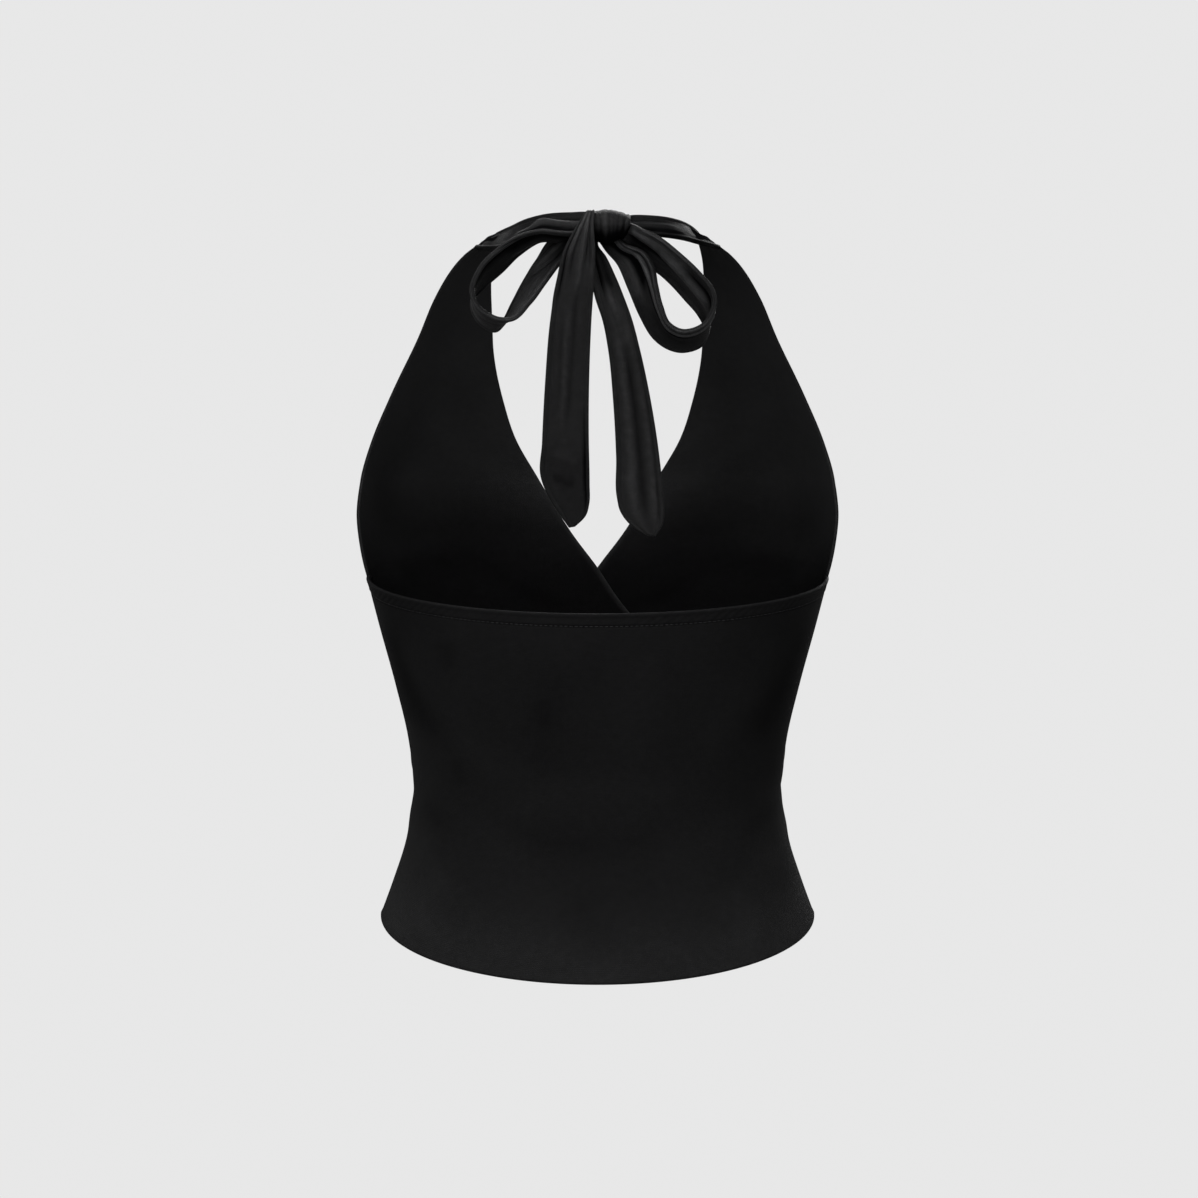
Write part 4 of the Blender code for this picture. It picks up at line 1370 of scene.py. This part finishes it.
KNOT_CREASES = table(
    "top_x   bottom_x  width  height",
    (-0.9,   -3.0,     0.8,   -0.40),
    (-4.1,   -4.9,     1.8,   0.30),
    (-6.6,   -7.0,     0.9,   -0.50),
    (-9.6,   -9.2,     0.8,   -0.35),
    (-12.4,  -10.8,    0.9,   -0.50),
    (-17.0,  -13.4,    0.8,   -1.10),
    (-18.2,  -15.0,    1.0,   0.50))
KNOT_ROWS = 130
KNOT_SIDES = 96
KNOT_CORNER = 0.35          # distance over which a crease's corner is rounded off
UNDER_SHADE = 0.60          # painted shade added under the knot
KNOT_LIGHT = 0.02           # the knot gets a little more painted light than the ties
KNOT_SQUARENESS = 2.5       # power of the oval: 2 is an ellipse
CREASES_START = 4, 5        # rows of the table between which the creases come, and go again
CREASES_END = 10, 12
UNDER_SHARES = 0.36, 0.80   # the shade underneath comes between these shares of the way down
KNOT_ROUND = 13.0           # distance along the wrapped cloth for each radian round the knot
KNOT_FOLD_SHADING = 2.4             # its creases are small, and get as much painted shade as the ties' folds


def tube_faces(rings, sides):
    """Faces of a closed tube, outward if the rings run towards +x: point 0, rings, last point."""
    index = 1 + np.arange(rings * sides).reshape(rings, sides)
    index = np.hstack((index, index[:, :1]))
    start = [(0, b, a) for a, b in zip(index[0, :-1], index[0, 1:])]
    last = 1 + rings * sides
    end = [(last, a, b) for a, b in zip(index[-1, :-1], index[-1, 1:])]
    return [tuple(map(int, face)) for face in start + end] + quads_of(index).tolist()


def knot():
    """Rings of the knot: a squared oval, moved in or out by the creases that cross it.

    y = middle + half width x |cos angle| to the power 2 / squareness, and z likewise with sin.
    """
    knots = distances(points_of(KNOT, "x", "half_z"))
    at = np.linspace(0.0, knots[-1], KNOT_ROWS)
    rows = read_table(KNOT, knots, at, limited=True)
    angle = np.linspace(0.0, 2.0 * np.pi, KNOT_SIDES, endpoint=False)
    power = 2.0 / KNOT_SQUARENESS
    oval = np.stack((np.zeros(KNOT_SIDES), np.sign(np.cos(angle)) * np.abs(np.cos(angle))**power,
                     np.sign(np.sin(angle)) * np.abs(np.sin(angle))**power), axis=1)
    middle = points_of(rows, "x", "mid_y", "mid_z")[:, None]
    ring = oval * points_of(rows, "x", "half_y", "half_z")[:, None]
    low = (1.0 - np.sin(angle))[None, :] / 2.0
    height = np.zeros((KNOT_ROWS, KNOT_SIDES))
    for top_x, bottom_x, width, rise in zip(*KNOT_CREASES.values()):
        off = rows["x"][:, None] - (top_x + (bottom_x - top_x) * low)
        height += rise * np.exp(-np.sqrt(off**2 + KNOT_CORNER**2) / width)
    outside = (ease(at, *knots[list(CREASES_START)])
               * (1.0 - ease(at, *knots[list(CREASES_END)])))
    height *= outside[:, None]
    points = middle + ring + unit(ring + 1e-9) * height[:, :, None]
    ends = points[0].mean(axis=0), points[-1].mean(axis=0)
    return points, ends, angle, at, height


def add_knot():
    """Closed mesh of the knot, with its wraps running round it as the cloth does."""
    points, ends, angle, at, height = knot()
    every = np.vstack((ends[0][None], points.reshape(-1, 3), ends[1][None]))
    place = np.stack(np.meshgrid(angle * KNOT_ROUND, at), axis=2).reshape(-1, 2)
    place = np.vstack((place[:1], place, place[-1:]))
    faces = [face[::-1] for face in tube_faces(KNOT_ROWS, KNOT_SIDES)]
    below = UNDER_SHADE * ease((1.0 - np.sin(angle)) / 2.0, *UNDER_SHARES)
    shade = np.minimum(painted_fold_shading(KNOT_FOLD_SHADING * height) - KNOT_LIGHT + below[None, :], DEEPEST_SHADE)
    shade = np.concatenate(([DEEPEST_SHADE], shade.ravel(), [DEEPEST_SHADE]))
    return add_mesh("bow_knot_cloth", every, faces, place, tie_jersey, shade)


knot_cloth = add_knot()
print("bow_knot_cloth:", len(knot_cloth.data.polygons), "faces")

# %% [markdown]
# ## Stitches along the back
#
# The turned edge is held by one row of stitches. Each stitch is a bean of thread a little under
# three millimetres long, sunk into the groove. One bean is worked out and copied to every place
# along the row, turned to follow the cloth there.

# %% Stitching
STITCH_PITCH = 3.0
STITCH_LENGTH = 2.3
THREAD_RADIUS = 0.24
BEAN_RINGS = 5
BEAN_SIDES = 6
LAST_RING = 0.92            # the outermost rings lie at this share of the half length


def bean():
    """Unit bean: rings whose radius is the square root of 1 - t squared, with a point at each end."""
    t = np.linspace(-LAST_RING, LAST_RING, BEAN_RINGS)
    angle = np.linspace(0.0, 2.0 * np.pi, BEAN_SIDES, endpoint=False)
    radius = np.sqrt(1.0 - t**2)
    rings = np.stack((np.repeat(t, BEAN_SIDES), np.outer(radius, np.cos(angle)).ravel(),
                      np.outer(radius, np.sin(angle)).ravel()), axis=1)
    return np.vstack(([(-1.0, 0.0, 0.0)], rings, [(1.0, 0.0, 0.0)]))


def row_of_stitches(grids, depth):
    """Middle, direction and normal of each stitch along a row at one depth of the back."""
    sheet, outer, _, _, along = grids[:5]
    row = int(np.argmin(np.abs(along[:, 0] - depth)))
    normal = normals(sheet)[row]
    line = sheet[row] + normal * outer[row][:, None]
    run = distances(line)
    at = np.arange(STITCH_PITCH, run[-1] - STITCH_PITCH / 2, STITCH_PITCH)
    middle = curve_through(run, line, at)
    direction = unit(curve_through(run, line, at + 0.5) - curve_through(run, line, at - 0.5))
    return middle, direction, unit(curve_through(run, normal, at))


def add_stitching(name, grids, depth):
    """All stitches of one row as a joined mesh: bean x size, turned, and moved to each place."""
    middle, direction, normal = row_of_stitches(grids, depth)
    side = np.cross(normal, direction)
    one = bean() * np.array((STITCH_LENGTH / 2, THREAD_RADIUS, THREAD_RADIUS))
    points = (middle[:, None] + one[None, :, :1] * direction[:, None]
              + one[None, :, 1:2] * side[:, None] + one[None, :, 2:] * normal[:, None])
    count = len(one)
    faces = [tuple(i + count * k for i in face) for k in range(len(middle))
             for face in tube_faces(BEAN_RINGS, BEAN_SIDES)]
    place = np.tile(one[:, :2], (len(middle), 1))
    print(f"{name}: {len(middle)} stitches")
    return add_mesh(name, points.reshape(-1, 3), faces, place, thread)


stitching = add_stitching("back_edge_stitching", back_grids, TURNING)

# %% [markdown]
# ## What each piece stands for
#
# Every piece rides on the one body and stands for a solid of the frame. Each sheet also gives
# the flat size that it was cut to. Jersey is cut a little smaller than the body and stretched
# over it.

# %% Ride and replace
FROM_HALTERS = ["left_halter_cloth", "right_halter_cloth"]
FROM_KNOT = ["bow_knot_cloth"]
SHEETS = (
    # piece, node, slot, flat size in metres, flat area, held, what it hangs from
    (back_cloth, "back_panel", "body_jersey", (0.345, 0.225), 0.068, "stretched", FROM_HALTERS),
    (front_waist_cloth, "front_waist", "body_jersey", (0.350, 0.200), 0.060, "stretched",
     FROM_HALTERS),
    (left_halter_cloth, "front_left_halter", "halter_jersey", (0.200, 0.330), 0.033, "stretched",
     ["left_neck_tie_cloth"]),
    (right_halter_cloth, "front_right_halter", "halter_jersey", (0.200, 0.330), 0.033,
     "stretched", ["right_neck_tie_cloth"]),
    (left_tie_cloth, "left_neck_tie", "tie_jersey", (0.028, 0.100), None, "stretched", FROM_KNOT),
    (right_tie_cloth, "right_neck_tie", "tie_jersey", (0.028, 0.088), None, "stretched",
     FROM_KNOT),
    (left_loop_cloth, "left_loop", "tie_jersey", (0.028, 0.203), None, "gathered", FROM_KNOT),
    (right_loop_cloth, "right_loop", "tie_jersey", (0.028, 0.180), None, "gathered", FROM_KNOT),
    (left_tail_cloth, "left_tail", "tie_jersey", (0.028, 0.200), None, "hung", FROM_KNOT),
    (right_tail_cloth, "right_tail", "tie_jersey", (0.028, 0.200), None, "hung", FROM_KNOT))

for piece, node, slot, flat, area, held, hangs_from in SHEETS:
    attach(piece, BODY)
    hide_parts(node)
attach(knot_cloth, BODY)
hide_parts("knot")
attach(stitching, BODY)
